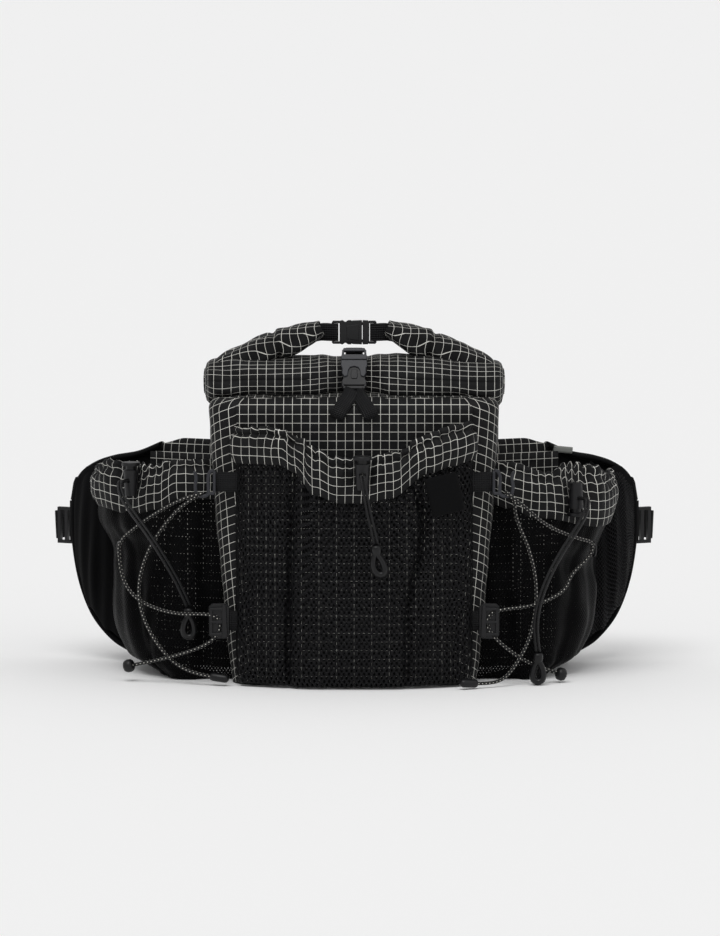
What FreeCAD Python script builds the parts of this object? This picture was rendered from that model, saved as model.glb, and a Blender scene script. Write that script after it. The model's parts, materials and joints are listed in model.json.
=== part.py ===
import FreeCAD, Part
import math
import os

# A roll-top waist pack with a mesh front pocket, two cinched side pockets, hip wings and a belt.
# Millimetres. Origin: middle of the base's underside. +X wearer's left seen from the front,
# -Y the front of the pack, +Z up.

V = FreeCAD.Vector
os.makedirs("parts", exist_ok=True)

# ---- driving dimensions -------------------------------------------------------------------
body_width_base = 208.0       # main compartment, at the floor
body_width_top = 246.0        # main compartment, at its top seam
body_depth = 112.0
body_height = 238.0           # floor to the top seam
body_corner_r = 22.0
fabric = 1.6                  # coated ripstop with its seam tape
gap = 0.3                     # clearance between pieces that only touch
back_pad_thick = 8.0
back_pad_width = 186.0
back_pad_height = 200.0

roll_depth = 40.0             # the rolled collar, front to back
roll_height = 29.0
roll_length = 244.0
collar_height = 10.0          # from the top seam to the underside of the roll

sleeve_width = 30.0           # the roll's ends, folded up and in to make the handle
sleeve_thick = 14.0
handle_z = body_height + 60.0  # middle of the handle's webbing
sleeve_end_x = 36.0           # where the webbing comes out of each sleeve

webbing_small = 15.0
webbing_large = 25.0
webbing_thick = 1.5

pocket_depth = 30.0           # front mesh pocket, how far it stands out
pocket_half_width = 101.0
mesh_thick = 1.5
rim_thick = 3.5

side_pocket_height = 150.0
side_rim_height = 33.0
side_pocket_x = (128.0, 142.0, 176.0, 207.0, 219.0)    # outline of the side pocket in plan
side_pocket_y = (-22.0, -26.0, -20.0, 4.0, 40.0)
side_pocket_foot = ((176.0, 1.0), (207.0, 16.0), (222.0, 46.0))  # its lower corner, from the front

wing_angle = 24.4             # how far each hip wing sweeps back
wing_length = 148.0
wing_thick = 12.0
wing_root_x = 113.0
wing_root_y = 46.0

belt_z = 118.0                # middle of the waist belt
belt_back_y = 196.0           # how far behind the origin the closed belt lies

cord_dia = 2.4                # drawcords
cord_pitch = cord_dia + 0.4   # the two strands of a drawcord, middle to middle
bungee_dia = 3.0

lock_length = 22.0            # cord lock barrel
lock_r = 6.5
lock_bore_r = 4.6
button_r = 4.3
button_cap_r = 8.0
button_travel = 3.0
button_gap = 0.8
cord_slide = 4.0              # how far a lock can be drawn out along its cord


# ---- helpers ------------------------------------------------------------------------------
def box(x0, x1, y0, y1, z0, z1):
    return Part.makeBox(x1 - x0, y1 - y0, z1 - z0, V(x0, y0, z0))


def face_of(points):
    return Part.Face(Part.makePolygon(points + points[:1]))


def plan_prism(points, z0, z1):
    """A prism that stands on an outline in plan."""
    return face_of([V(x, y, z0) for x, y in points]).extrude(V(0, 0, z1 - z0))


def front_prism(points, y0, y1):
    """A prism whose outline is seen from the front, from y0 back to y1."""
    return face_of([V(x, y0, z) for x, z in points]).extrude(V(0, y1 - y0, 0))


def one_of(shape):
    """The shape as one clean solid."""
    return shape.removeSplitter()


def mirrored(shape):
    return shape.mirror(V(0, 0, 0), V(1, 0, 0))


def rounded(shape, radius, chosen):
    """Fillets the edges for which chosen(edge) is true."""
    edges = [e for e in shape.Edges if chosen(e)]
    return shape.makeFillet(radius, edges)


def is_along(edge, axis):
    if edge.Curve.TypeId != "Part::GeomLine":
        return False
    d = edge.Vertexes[-1].Point - edge.Vertexes[0].Point
    return abs(d.normalize().dot(axis)) > 0.999


def write(name, shape):
    assert shape.isValid(), name
    shape.exportStep("parts/" + name + ".step")
    print(name, len(shape.Solids), round(shape.Volume / 1000, 2), "cm3")


def rounded_section(width, depth, z, radius, grow=0.0):
    """A rounded rectangle, as a wire at height z."""
    hx = width / 2 + grow
    hy = depth / 2 + grow
    r = radius + grow
    k = r * (1 - math.sqrt(0.5))
    edges = []
    corners = [(1, 1), (-1, 1), (-1, -1), (1, -1)]
    for i, (sx, sy) in enumerate(corners):
        nx, ny = corners[(i + 1) % 4]
        first = V(sx * hx, sy * (hy - r), z)
        last = V(sx * (hx - r), sy * hy, z)
        if sx * sy < 0:
            first, last = last, first
        middle = V(sx * (hx - k), sy * (hy - k), z)
        edges.append(Part.Arc(first, middle, last).toShape())
        nfirst = V(nx * hx, ny * (hy - r), z)
        nlast = V(nx * (hx - r), ny * hy, z)
        if nx * ny < 0:
            nfirst, nlast = nlast, nfirst
        edges.append(Part.LineSegment(last, nfirst).toShape())
    return Part.Wire(edges)


def body_solid(grow, z0=0.0, z1=None):
    """The main compartment's outside, grown by some clearance or shrunk by a wall."""
    top = body_height if z1 is None else z1
    wires = []
    for z in (z0, top):
        share = z / body_height
        width = body_width_base + (body_width_top - body_width_base) * share
        wires.append(rounded_section(width, body_depth, z, body_corner_r, grow))
    return Part.makeLoft(wires, True, True)


def tube(points, dia, label):
    """A round cord along straight runs that are joined by tangent arcs."""
    pts = [V(*p) for p in points]
    edges = []
    radii = []
    start = pts[0]
    length = 0.0
    for a, b, c in zip(pts, pts[1:], pts[2:]):
        u = (a - b).normalize()
        w = (c - b).normalize()
        turn = math.pi - u.getAngle(w)
        setback = 0.45 * min((a - b).Length, (c - b).Length)
        radius = setback / math.tan(turn / 2)
        p = b + u * setback
        q = b + w * setback
        to_middle = (u + w).normalize()
        middle = b + to_middle * (radius / math.cos(turn / 2) - radius)
        edges.append(Part.LineSegment(start, p).toShape())
        edges.append(Part.Arc(p, middle, q).toShape())
        length += (p - start).Length + radius * turn
        radii.append(round(radius, 1))
        start = q
    edges.append(Part.LineSegment(start, pts[-1]).toShape())
    length += (pts[-1] - start).Length
    path = Part.Wire(edges)
    circle = Part.makeCircle(dia / 2, pts[0], pts[1] - pts[0])
    solid = path.makePipeShell([Part.Wire([circle])], True, False)
    share = solid.Volume / (math.pi * dia * dia / 4 * length)
    print(label, "length", round(length, 1), "radii", radii, "volume share", round(share, 3))
    return solid


# ---- main compartment ---------------------------------------------------------------------
front_cut_y = -(body_depth / 2 - body_corner_r)
back_cut_y = body_depth / 2 - body_corner_r
half = body_width_top


def shell():
    return body_solid(0.0, fabric).cut(body_solid(-fabric, 0.0))


def base_panel():
    return body_solid(0.0, 0.0, fabric)


def front_panel():
    return shell().common(box(-half, half, -half, front_cut_y, 0, body_height))


def back_panel():
    return shell().common(box(-half, half, back_cut_y, half, 0, body_height))


def side_panel(side):
    lo, hi = (0, half) if side > 0 else (-half, 0)
    return shell().common(box(lo, hi, front_cut_y, back_cut_y, 0, body_height))


def back_pad():
    y0 = body_depth / 2 + gap
    half_w = back_pad_width / 2
    pad = box(-half_w, half_w, y0, y0 + back_pad_thick, 12.0, 12.0 + back_pad_height)
    return rounded(pad, 20.0, lambda e: is_along(e, V(0, 1, 0)))


def collar():
    """The unrolled part of the closure: a front and a back slope from the top seam to the roll."""
    z0 = body_height
    z1 = body_height + collar_height
    y_low = body_depth / 2
    y_top = roll_depth / 4
    solids = []
    for s in (-1, 1):
        points = [(s * y_low, z0), (s * (y_low - 2 * fabric), z0)]
        points += [(s * (y_top - fabric), z1), (s * y_top, z1)]
        profile = face_of([V(-roll_length / 2, y, z) for y, z in points])
        slope = profile.extrude(V(roll_length, 0, 0))
        keep = body_solid(0.0, 0.0, body_height)
        foot = keep.translated(V(0, 0, collar_height))
        solids.append(slope.common(foot))
    return Part.makeCompound(solids)


roll_z = body_height + collar_height + roll_height / 2 + gap


def roll_bar(grow):
    """A flattened round bar across the top, grown by some clearance."""
    ends = []
    for x in (-roll_length / 2 - grow, roll_length / 2 + grow):
        e = Part.Ellipse(V(0, 0, 0), roll_depth / 2 + grow, roll_height / 2 + grow).toShape()
        e.rotate(V(0, 0, 0), V(1, 0, 0), 90)
        e.rotate(V(0, 0, 0), V(0, 0, 1), 90)
        e.translate(V(x, 0, roll_z))
        ends.append(Part.Wire([e]))
    return Part.makeLoft(ends, True, True)


def sleeve_outline():
    """The right sleeve from the front: round the roll's end, up and in along the handle."""
    t = sleeve_thick
    outer = [
        V(roll_length / 2 + gap + 5, 0, roll_z - 13),
        V(roll_length / 2 + gap + 8, 0, roll_z + 2),
        V(roll_length / 2 - 12, 0, roll_z + 20),
        V(roll_length / 2 - 45, 0, handle_z + 2),
        V(sleeve_end_x, 0, handle_z + t / 2 + 2),
    ]
    inner = [
        V(sleeve_end_x, 0, handle_z - t / 2 - 2),
        V(roll_length / 2 - 42, 0, handle_z - t + 1),
        V(roll_length / 2 - 22, 0, roll_z + 17),
        V(roll_length / 2 + gap, 0, roll_z + 2),
        V(roll_length / 2 + gap, 0, roll_z - 13),
    ]
    edges = []
    for points in (outer, inner):
        curve = Part.BSplineCurve()
        curve.interpolate(points)
        edges.append((curve.toShape(), points))
    join_a = Part.LineSegment(outer[-1], inner[0]).toShape()
    join_b = Part.LineSegment(inner[-1], outer[0]).toShape()
    return Part.Face(Part.Wire([edges[0][0], join_a, edges[1][0], join_b]))


def roll_end(side):
    face = sleeve_outline()
    face.translate(V(0, -sleeve_width / 2, 0))
    solid = face.extrude(V(0, sleeve_width, 0))
    solid = solid.cut(roll_bar(gap))
    solid = max(solid.Solids, key=lambda s: s.Volume)
    solid = solid.cut(handle_slot())
    return solid if side > 0 else mirrored(solid)


handle_tuck = 12.0            # how far the handle's webbing is sewn into each sleeve
handle_slot_depth = handle_tuck + gap


def handle_slot():
    """The sewn pocket in a sleeve's end that the webbing goes into."""
    hz = webbing_small / 2 + gap
    hy = webbing_thick / 2 + gap
    x1 = sleeve_end_x + handle_slot_depth
    return box(sleeve_end_x - 1, x1, -hy, hy, handle_z - hz, handle_z + hz)


# ---- side-release buckles -----------------------------------------------------------------
# In its own frame a buckle lies along X: the female half from 0 to female_len, the male half
# beyond it, its width along Y and its thickness along Z.
class Buckle:
    def __init__(self, webbing):
        self.slot_w = webbing + 1.0
        self.width = webbing + 6.0
        self.thick = 4.4 + webbing * 0.22
        self.bar = 3.0
        self.slot_len = 3.6
        self.wall = 1.5
        self.female_len = 12.0 + webbing * 0.95
        self.male_base = 12.0
        self.cavity_x = self.bar + self.slot_len + 2.4
        self.prong_w = 2.4
        self.prong_y = self.width / 2 - self.wall - gap - self.prong_w / 2
        self.window = (self.cavity_x + 2.0, self.cavity_x + 8.5)
        self.root_x = self.female_len + gap + 1.0
        self.travel = self.female_len - self.cavity_x + 3.0

    def female(self):
        w, t = self.width, self.thick
        solid = box(0, self.female_len, -w / 2, w / 2, -t / 2, t / 2)
        solid = rounded(solid, 1.2, lambda e: is_along(e, V(1, 0, 0)))
        hw = w / 2 - self.wall
        ht = t / 2 - 1.2
        solid = solid.cut(box(self.cavity_x, self.female_len + 1, -hw, hw, -ht, ht))
        solid = solid.cut(self.webbing_slot(self.bar))
        side = box(self.window[0], self.window[1], -w, w, -ht, ht)
        return solid.cut(side)

    def webbing_slot(self, x0):
        s = self.slot_w / 2
        return box(x0, x0 + self.slot_len, -s, s, -self.thick, self.thick)

    def male(self):
        w, t = self.width, self.thick
        x0 = self.female_len + gap
        x1 = x0 + self.male_base
        base = box(x0, x1, -w / 2, w / 2, -t / 2, t / 2)
        base = rounded(base, 1.2, lambda e: is_along(e, V(1, 0, 0)))
        base = base.cut(self.webbing_slot(x1 - self.bar - self.slot_len))
        py = self.prong_y
        pw = self.prong_w / 2 + gap
        for s in (-1, 1):
            notch = box(x0 - 1, x0 + 3.4, s * py - pw, s * py + pw, -t, t)
            base = base.cut(notch)
        tongue = box(self.cavity_x + 1.5, x0 + 1, -2.0, 2.0, -t / 2 + 1.7, t / 2 - 1.7)
        return base.fuse(tongue)

    def prong(self, side):
        """A springy arm with its catch, for the +Y side; hinged at root_x."""
        ht = self.thick / 2 - 1.2 - gap
        py = self.prong_y
        pw = self.prong_w / 2
        tip = self.window[0] + 0.6
        back = self.window[1] - 0.6
        points = [
            (tip, py - pw),
            (self.root_x + 1.5, py - pw),
            (self.root_x + 1.5, py + pw),
            (back, py + pw),
            (back, self.width / 2 - 0.2),
            (tip + 2.5, self.width / 2 - 0.2),
            (tip, py + pw),
        ]
        arm = plan_prism(points, -ht, ht)
        if side < 0:
            arm = arm.mirror(V(0, 0, 0), V(0, 1, 0))
        return arm


def placed(shape, place):
    copy = shape.copy()
    copy.Placement = place.multiply(copy.Placement)
    return copy


def placement(origin, x_axis, y_axis):
    """A placement whose local X and Y lie along the given directions."""
    x = V(*x_axis).normalize()
    z = x.cross(V(*y_axis)).normalize()
    y = z.cross(x)
    m = FreeCAD.Matrix(
        x.x, y.x, z.x, origin[0],
        x.y, y.y, z.y, origin[1],
        x.z, y.z, z.z, origin[2],
        0, 0, 0, 1,
    )
    return FreeCAD.Placement(m)


def report_joint(name, place, local_point, local_axis):
    """Prints a joint's place and direction, in metres, for the record."""
    p = place.multVec(V(*local_point))
    d = place.Rotation.multVec(V(*local_axis))
    print("JOINT", name, [round(c / 1000, 6) for c in p], [round(c, 6) for c in d])


def buckle_set(prefix, buckle, place, prongs):
    write(prefix + "_buckle_female", placed(buckle.female(), place))
    write(prefix + "_buckle_male", placed(buckle.male(), place))
    report_joint(prefix + "_slide", place, (0, 0, 0), (1, 0, 0))
    for side, end in zip((1, -1), prongs):
        write(prefix + "_prong_" + end, placed(buckle.prong(side), place))
        hinge = (buckle.root_x, side * buckle.prong_y, 0)
        report_joint(prefix + "_prong_" + end, place, hinge, (0, 0, side))
    print(prefix, "travel", round(buckle.travel, 2))


# ---- handle buckle, across the top --------------------------------------------------------
top = Buckle(webbing_small)
top_total = top.female_len + gap + top.male_base
top_place = placement((-top_total / 2, 0, handle_z), (1, 0, 0), (0, 0, 1))


def handle_webbing(side):
    """Webbing from a sleeve's pocket to the buckle's bar, its width upright."""
    x_in = top_total / 2 - top.bar - gap - 1.4
    hw = webbing_small / 2
    strap = box(x_in, sleeve_end_x + handle_tuck, -webbing_thick / 2, webbing_thick / 2,
                handle_z - hw, handle_z + hw)
    bar = box(x_in + 1.4, top_total / 2 + gap, -10, 10, handle_z - 20, handle_z + 20)
    strap = strap.cut(bar)
    # the turn of webbing round the bar: one layer in front of it and one behind
    t = top.thick / 2 + gap
    turn = box(x_in, top_total / 2 + 6, -t - webbing_thick, t + webbing_thick,
               handle_z - hw, handle_z + hw)
    hollow = box(x_in + 1.4, top_total / 2 + gap, -t, t, handle_z - 20, handle_z + 20)
    turn = turn.cut(hollow)
    turn = turn.cut(box(top_total / 2 + gap + webbing_thick, 100, -20, 20, 0, 400))
    solid = one_of(strap.fuse(turn))
    return solid if side > 0 else mirrored(solid)


# ---- closure strap and buckle, over the front of the roll ---------------------------------
closure = Buckle(webbing_small)
closure_total = closure.female_len + gap + closure.male_base
closure_tilt = 28.0           # the buckle leans back against the roll
closure_top = (0.0, -roll_depth / 2 - 1.0, roll_z + 23.0)
tilt = math.radians(closure_tilt)
closure_up = V(0.0, math.sin(tilt), math.cos(tilt))
closure_foot = V(*closure_top) - closure_up * closure_total
closure_place = placement(tuple(closure_foot), tuple(closure_up), (1, 0, 0))


def arc_strap(points, width, thick):
    """A strap of even thickness whose middle line is a smooth curve in the YZ plane."""
    outer = []
    inner = []
    for i, (y, z) in enumerate(points):
        a = points[max(i - 1, 0)]
        b = points[min(i + 1, len(points) - 1)]
        d = V(0, b[0] - a[0], b[1] - a[1]).normalize()
        n = V(0, -d.z, d.y) * (thick / 2)
        outer.append(V(-width / 2, y, z) + n)
        inner.append(V(-width / 2, y, z) - n)
    edges = []
    for side in (outer, inner[::-1]):
        curve = Part.BSplineCurve()
        curve.interpolate(side)
        edges.append(curve.toShape())
    join_a = Part.LineSegment(outer[-1], inner[-1]).toShape()
    join_b = Part.LineSegment(inner[0], outer[0]).toShape()
    face = Part.Face(Part.Wire([edges[0], join_a, edges[1], join_b]))
    return face.extrude(V(width, 0, 0))


def closure_strap():
    """From the back panel up over the roll to the buckle's upper bar."""
    back_y = body_depth / 2 + 2 * gap + webbing_thick / 2
    lift = webbing_thick / 2 + 3 * gap
    bar_y = closure_top[1] + 1.0
    bar_z = closure_top[2] + 1.2
    points = [
        (back_y, body_height - 18.0),
        (back_y + 0.8, body_height - 6.0),
        (back_y - 1.0, body_height + 5.0),
        (roll_depth / 2 + 12.0, roll_z - 4.0),
        (roll_depth / 2 + 2.0, roll_z + 9.0),
        (8.0, roll_z + roll_height / 2 + lift),
        (-8.0, roll_z + roll_height / 2 + lift + 0.6),
        (bar_y + 3.0, bar_z + 0.4),
        (bar_y + 0.2, bar_z + 0.2),
    ]
    strap = arc_strap(points, webbing_small, webbing_thick)
    return strap.cut(body_solid(gap)).cut(roll_bar(gap))


def closure_webbing():
    """Two legs of webbing that spread from the male half's bar down to the top seam."""
    seam_y = -body_depth / 2 - gap
    bar = closure_foot - closure_up * gap
    legs = []
    for side in (-1, 1):
        over = webbing_thick + gap if side > 0 else 0.0
        back = [(bar.y - over, bar.z), (seam_y - 1.6 - over, body_height + 3.0),
                (seam_y - over, body_height - 8.0)]
        front = [(y - webbing_thick, z) for y, z in back[::-1]]
        sheet = face_of([V(-40, y, z) for y, z in back + front]).extrude(V(80, 0, 0))
        hw = webbing_small / 2
        foot = body_height - 9.0
        outline = [(side * 2.0 - 5.0, bar.z + 1), (side * 2.0 + 5.0, bar.z + 1),
                   (side * 13.0 + hw, foot), (side * 13.0 - hw, foot)]
        legs.append(sheet.common(front_prism(outline, -200, 200)))
    return Part.makeCompound(legs)


# ---- front mesh pocket --------------------------------------------------------------------
pocket_front_y = -body_depth / 2 - gap


def pocket_outline(inset):
    """Half-hexagon in plan, standing out in front of the front panel."""
    w = pocket_half_width - inset
    d = pocket_depth - inset
    y = pocket_front_y
    return [
        (-w, y),
        (-w + 8, y - d * 0.40),
        (-w * 0.56, y - d * 0.86),
        (0, y - d),
        (w * 0.56, y - d * 0.90),
        (w - 8, y - d * 0.45),
        (w, y),
    ]


rim_top = [(-101, 222), (-52, 221), (-14, 199), (12, 197), (34, 204), (62, 218), (101, 224)]
rim_bottom = [(101, 194), (62, 186), (24, 163), (-8, 160), (-34, 166), (-52, 190), (-101, 192)]


def pocket_mesh():
    outer = plan_prism(pocket_outline(0.0), 0.6, 230)
    inner = plan_prism(pocket_outline(mesh_thick), 0.6 + mesh_thick, 231)
    wall = outer.cut(inner)
    wide = pocket_half_width + 3
    below = [(-wide, 0), (wide, 0), (wide, rim_bottom[0][1])]
    below += rim_bottom[1:-1] + [(-wide, rim_bottom[-1][1])]
    return wall.common(front_prism(below, -200, 0))


def pocket_rim():
    outer = plan_prism(pocket_outline(-1.0), 150, 230)
    inner = plan_prism(pocket_outline(rim_thick - 1.0), 149, 231)
    band = outer.cut(inner).common(box(-150, 150, -200, pocket_front_y, 0, 300))
    wide = pocket_half_width + 3
    outline = [(-wide, rim_top[0][1])] + rim_top[1:-1] + [(wide, rim_top[-1][1])]
    outline += [(wide, rim_bottom[0][1])] + rim_bottom[1:-1] + [(-wide, rim_bottom[-1][1])]
    return band.common(front_prism(outline, -200, 0))


# ---- cord locks ---------------------------------------------------------------------------
# In its own frame the barrel stands along Z with its button on top and the cords pass along -Y.
slot_w = cord_pitch + cord_dia + 2 * gap
slot_h = cord_dia + 2 * gap
lock_off = button_cap_r + gap    # from the fabric to the middle of the barrel
lock_top = lock_length / 2 - 2   # rim of the barrel above the cords
stem_foot = slot_h / 2 + 2.6     # how far the button's stem reaches below the cords


def lock_body():
    barrel = Part.makeCone(lock_r - 1.2, lock_r, lock_length, V(0, 0, lock_top - lock_length))
    floor_z = -stem_foot - button_travel - gap
    bore = Part.makeCylinder(lock_bore_r, lock_top + 1 - floor_z, V(0, 0, floor_z))
    slot = box(-slot_w / 2, slot_w / 2, -20, 20, -slot_h / 2, slot_h / 2)
    return barrel.cut(bore).cut(slot)


def lock_button():
    cap_z = lock_top + button_travel + button_gap
    stem = Part.makeCylinder(button_r, cap_z + stem_foot + 0.5, V(0, 0, -stem_foot))
    cap = Part.makeCylinder(button_cap_r, 3.0, V(0, 0, cap_z))
    cap = rounded(cap, 1.2, lambda e: abs(e.BoundBox.ZMin - cap_z - 3.0) < 0.01 and e.Length > 20)
    window = box(-slot_w / 2, slot_w / 2, -20, 20, -slot_h / 2, slot_h / 2 + button_travel)
    return stem.cut(window).fuse(cap).removeSplitter()


def lock_place(centre, yaw, flip):
    x = V(math.cos(math.radians(yaw)), math.sin(math.radians(yaw)), 0)
    y = V(-math.sin(math.radians(yaw)), math.cos(math.radians(yaw)), 0)
    if flip:
        x = x * -1
    return placement(centre, (x.x, x.y, x.z), (y.x, y.y, y.z))


def lock_set(prefix, centre, yaw, flip):
    place = lock_place(centre, yaw, flip)
    write(prefix + "_lock_body", placed(lock_body(), place))
    write(prefix + "_lock_button", placed(lock_button(), place))
    report_joint(prefix + "_lock_slide", place, (0, 0, 0), (0, -1, 0))
    report_joint(prefix + "_lock_button", place, (0, 0, 0), (0, 0, -1))
    return place


def double_cord(centre, yaw, points, label):
    """Two strands side by side: straight out through the lock, then along the points."""
    a = math.radians(yaw)
    out = V(math.sin(a), -math.cos(a), 0)
    across = V(math.cos(a), math.sin(a), 0)
    begin = V(*centre) - out * (lock_off - gap / 2)
    leave = V(*centre) + out * (lock_r + cord_slide + 5.6)
    middle = [begin, leave] + [V(*p) for p in points]
    strands = []
    for side in (-1, 1):
        route = []
        for i, p in enumerate(middle):
            offset = across
            if i > 1:
                along = middle[min(i + 1, len(middle) - 1)] - middle[i - 1]
                offset = along.cross(V(0, 1, 0)).normalize()
            route.append(p + offset * (side * cord_pitch / 2))
        strands.append(tube([(p.x, p.y, p.z) for p in route], cord_dia, label))
    return Part.makeCompound(strands)


pull_gap = 1.0                   # from the cord's end down to its pull


def cord_pull(end):
    """A rubber drop over the cord's end: a collar above and a finger ring below."""
    x, y, z = end
    collar_part = Part.makeCone(4.2, 4.8, 9.0, V(x, y, z - 9.0 - pull_gap))
    ring = Part.makeTorus(6.0, 2.0, V(x, y, z - 9.0 - pull_gap - 7.0), V(0, 1, 0))
    return collar_part.fuse(ring).removeSplitter()


# ---- side pockets -------------------------------------------------------------------------
def wing_front_y(x):
    return wing_root_y + (x - wing_root_x) * math.tan(math.radians(wing_angle))


def side_outline(inset):
    """The right side pocket in plan: round the front, and back along the wing."""
    xs = side_pocket_x
    ys = side_pocket_y
    points = [(100.0, ys[0] + 2.0)] + list(zip(xs, ys))
    points.append((xs[-1] + 1.0, wing_front_y(xs[-1] + 1.0) - 2 * gap))
    points.append((100.0, wing_front_y(100.0) - 2 * gap))
    if inset == 0:
        return points
    face = face_of([V(x, y, 0) for x, y in points]).makeOffset2D(-inset)
    return [(v.Point.x, v.Point.y) for v in face.OuterWire.OrderedVertexes]


def side_profile(inset):
    """What the side pocket may fill, seen from the front: its outer lower corner is rounded off."""
    top = side_pocket_height + 60
    foot = [(x - inset * 0.7, z + inset) for x, z in side_pocket_foot]
    outline = [(90.0, foot[0][1])] + foot + [(260.0 - inset, 100.0), (260.0 - inset, top), (90.0, top)]
    return front_prism(outline, -100, 200)


def side_pocket(side):
    outer = plan_prism(side_outline(0), 1.0, side_pocket_height).common(side_profile(0.0))
    inner = plan_prism(side_outline(mesh_thick), 1.0, side_pocket_height + 1)
    inner = inner.common(side_profile(mesh_thick))
    inner = inner.cut(body_solid(gap + mesh_thick, 0, side_pocket_height + 2))
    cup = outer.cut(inner).cut(body_solid(gap, 0, side_pocket_height + 1))
    cup = max(cup.Solids, key=lambda s: s.Volume)
    return cup if side > 0 else mirrored(cup)


def side_rim(side):
    z0 = side_pocket_height
    z1 = z0 + side_rim_height
    outer = plan_prism(side_outline(0), z0, z1)
    inner = plan_prism(side_outline(rim_thick), z0 - 1, z1 + 1)
    inner = inner.cut(body_solid(gap + rim_thick, 0, z1 + 2))
    ring = outer.cut(inner).cut(body_solid(gap, 0, z1 + 2))
    ring = max(ring.Solids, key=lambda s: s.Volume)
    return ring if side > 0 else mirrored(ring)


# ---- hip wings and belt -------------------------------------------------------------------
wing_outline = [
    (0, 8), (70, 3), (108, 18), (130, 40), (142, 72), (wing_length, 108),
    (wing_length, 146), (134, 166), (108, 180), (60, 190), (0, 194),
]


def wing_slab(points, y0, y1):
    """A slab in the wing's own plane: u along the wing, y0 to y1 through its thickness."""
    slab = front_prism(points, y0, y1)
    slab.rotate(V(0, 0, 0), V(0, 0, 1), wing_angle)
    slab.translate(V(wing_root_x, wing_root_y, 0))
    return slab


def wing(side):
    slab = wing_slab(wing_outline, 0.0, wing_thick)
    slab = slab.cut(body_solid(gap, 0, body_height))
    pad = back_pad().BoundBox
    reach = box(-pad.XMax - gap, pad.XMax + gap, pad.YMin - 1, pad.YMax + gap, 0, 260)
    slab = slab.cut(reach)
    slab = max(slab.Solids, key=lambda s: s.Volume)
    return slab if side > 0 else mirrored(slab)


def wing_pockets():
    """A flat mesh pocket on the front of each wing's outer end, open along its top."""
    u0 = (side_pocket_x[-1] + 9.0 - wing_root_x) / math.cos(math.radians(wing_angle))
    end = wing_length - 1.0
    outline = [(u0, 34), (end - 10, 60), (end - 2, 90), (end, 140), (u0, 150)]
    inside = [(u0 + 1.5, 38), (end - 11.5, 63), (end - 3.5, 91), (end - 1.5, 160), (u0 + 1.5, 160)]
    pocket = wing_slab(outline, -12.0, -gap)
    room = wing_slab(inside, -10.5, -gap - mesh_thick)
    pocket = pocket.cut(room)
    return Part.makeCompound([pocket, mirrored(pocket)])


def tip_point(u, depth):
    """A point at distance u along the right wing, in plan."""
    a = math.radians(wing_angle)
    x = wing_root_x + u * math.cos(a) - depth * math.sin(a)
    y = wing_root_y + u * math.sin(a) + depth * math.cos(a)
    return x, y


lock_bar = 3.0
tip_lock_len = 17.0


def tip_locks():
    """A ladder lock sewn to the tip of each wing: a frame with two slots."""
    hw = webbing_large / 2 + 3.5
    u0 = wing_length + gap
    frame = front_prism(
        [(u0, belt_z - hw), (u0 + tip_lock_len, belt_z - hw),
         (u0 + tip_lock_len, belt_z + hw), (u0, belt_z + hw)], 4.0, 8.0)
    s = webbing_large / 2 + 0.8
    for k in (0, 1):
        x0 = u0 + lock_bar + k * 7.0
        frame = frame.cut(box(x0, x0 + 4.0, 0, 20, belt_z - s, belt_z + s))
    frame.rotate(V(0, 0, 0), V(0, 0, 1), wing_angle)
    frame.translate(V(wing_root_x, wing_root_y, 0))
    return Part.makeCompound([frame, mirrored(frame)])


belt = Buckle(webbing_large)
belt_total = belt.female_len + gap + belt.male_base
belt_place = placement((-belt_total / 2, belt_back_y, belt_z), (1, 0, 0), (0, 0, 1))


def belt_webbing(side):
    """From the wing tip's ladder lock round to the buckle, square to the buckle where it meets."""
    x0, y0 = tip_point(wing_length + tip_lock_len + 9 * gap, 6.0)
    x1 = belt_total / 2 + gap
    y1 = belt_back_y
    run = x0 - x1
    centre_y = (run * run + y0 * y0 - y1 * y1) / (2 * (y0 - y1))
    radius = y1 - centre_y
    sweep = math.asin(run / radius)
    edges = []
    ends = []
    for r in (radius - webbing_thick / 2, radius + webbing_thick / 2):
        arc = [V(x1 + r * math.sin(sweep * k), centre_y + r * math.cos(sweep * k), 0)
               for k in (0.0, 0.5, 1.0)]
        edges.append(Part.Arc(*arc).toShape())
        ends.append((arc[0], arc[2]))
    for k in (0, 1):
        edges.append(Part.LineSegment(ends[0][k], ends[1][k]).toShape())
    face = Part.Face(Part.Wire(Part.__sortEdges__(edges)))
    face.translate(V(0, 0, belt_z - webbing_large / 2))
    strap = face.extrude(V(0, 0, webbing_large))
    return strap if side > 0 else mirrored(strap)


# ---- side hardware, bungees ---------------------------------------------------------------
hook_z = 175.0
block_z = 56.0


def hook_webbing():
    """Short webbing tabs sewn into the front corner seams, above and below, on both sides."""
    y0 = -body_depth / 2 - gap - webbing_thick
    y1 = -body_depth / 2 - gap
    x0 = pocket_half_width + gap
    tabs = []
    for z, x1 in ((hook_z, 117.0), (block_z, 106.0)):
        hw = webbing_small / 2
        tab = box(x0, x1, y0, y1, z - hw, z + hw)
        tabs += [tab, mirrored(tab)]
    return Part.makeCompound(tabs)


def gear_hooks():
    """A plastic G-shaped hook on each upper tab: a slot for the webbing and one for the bungee."""
    y1 = -body_depth / 2 - gap
    plate = box(117.0 + gap, 136.0, y1 - 3.4, y1, hook_z - 13, hook_z + 11)
    plate = rounded(plate, 3.0, lambda e: is_along(e, V(0, 1, 0)))
    eye = box(126.0, 132.5, y1 - 10, y1 + 10, hook_z - 9.5, hook_z + 3)
    mouth = box(128.5, 132.0, y1 - 10, y1 + 10, hook_z - 1, hook_z + 20)
    plate = plate.cut(eye).cut(mouth)
    return Part.makeCompound([plate, mirrored(plate)])


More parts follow.
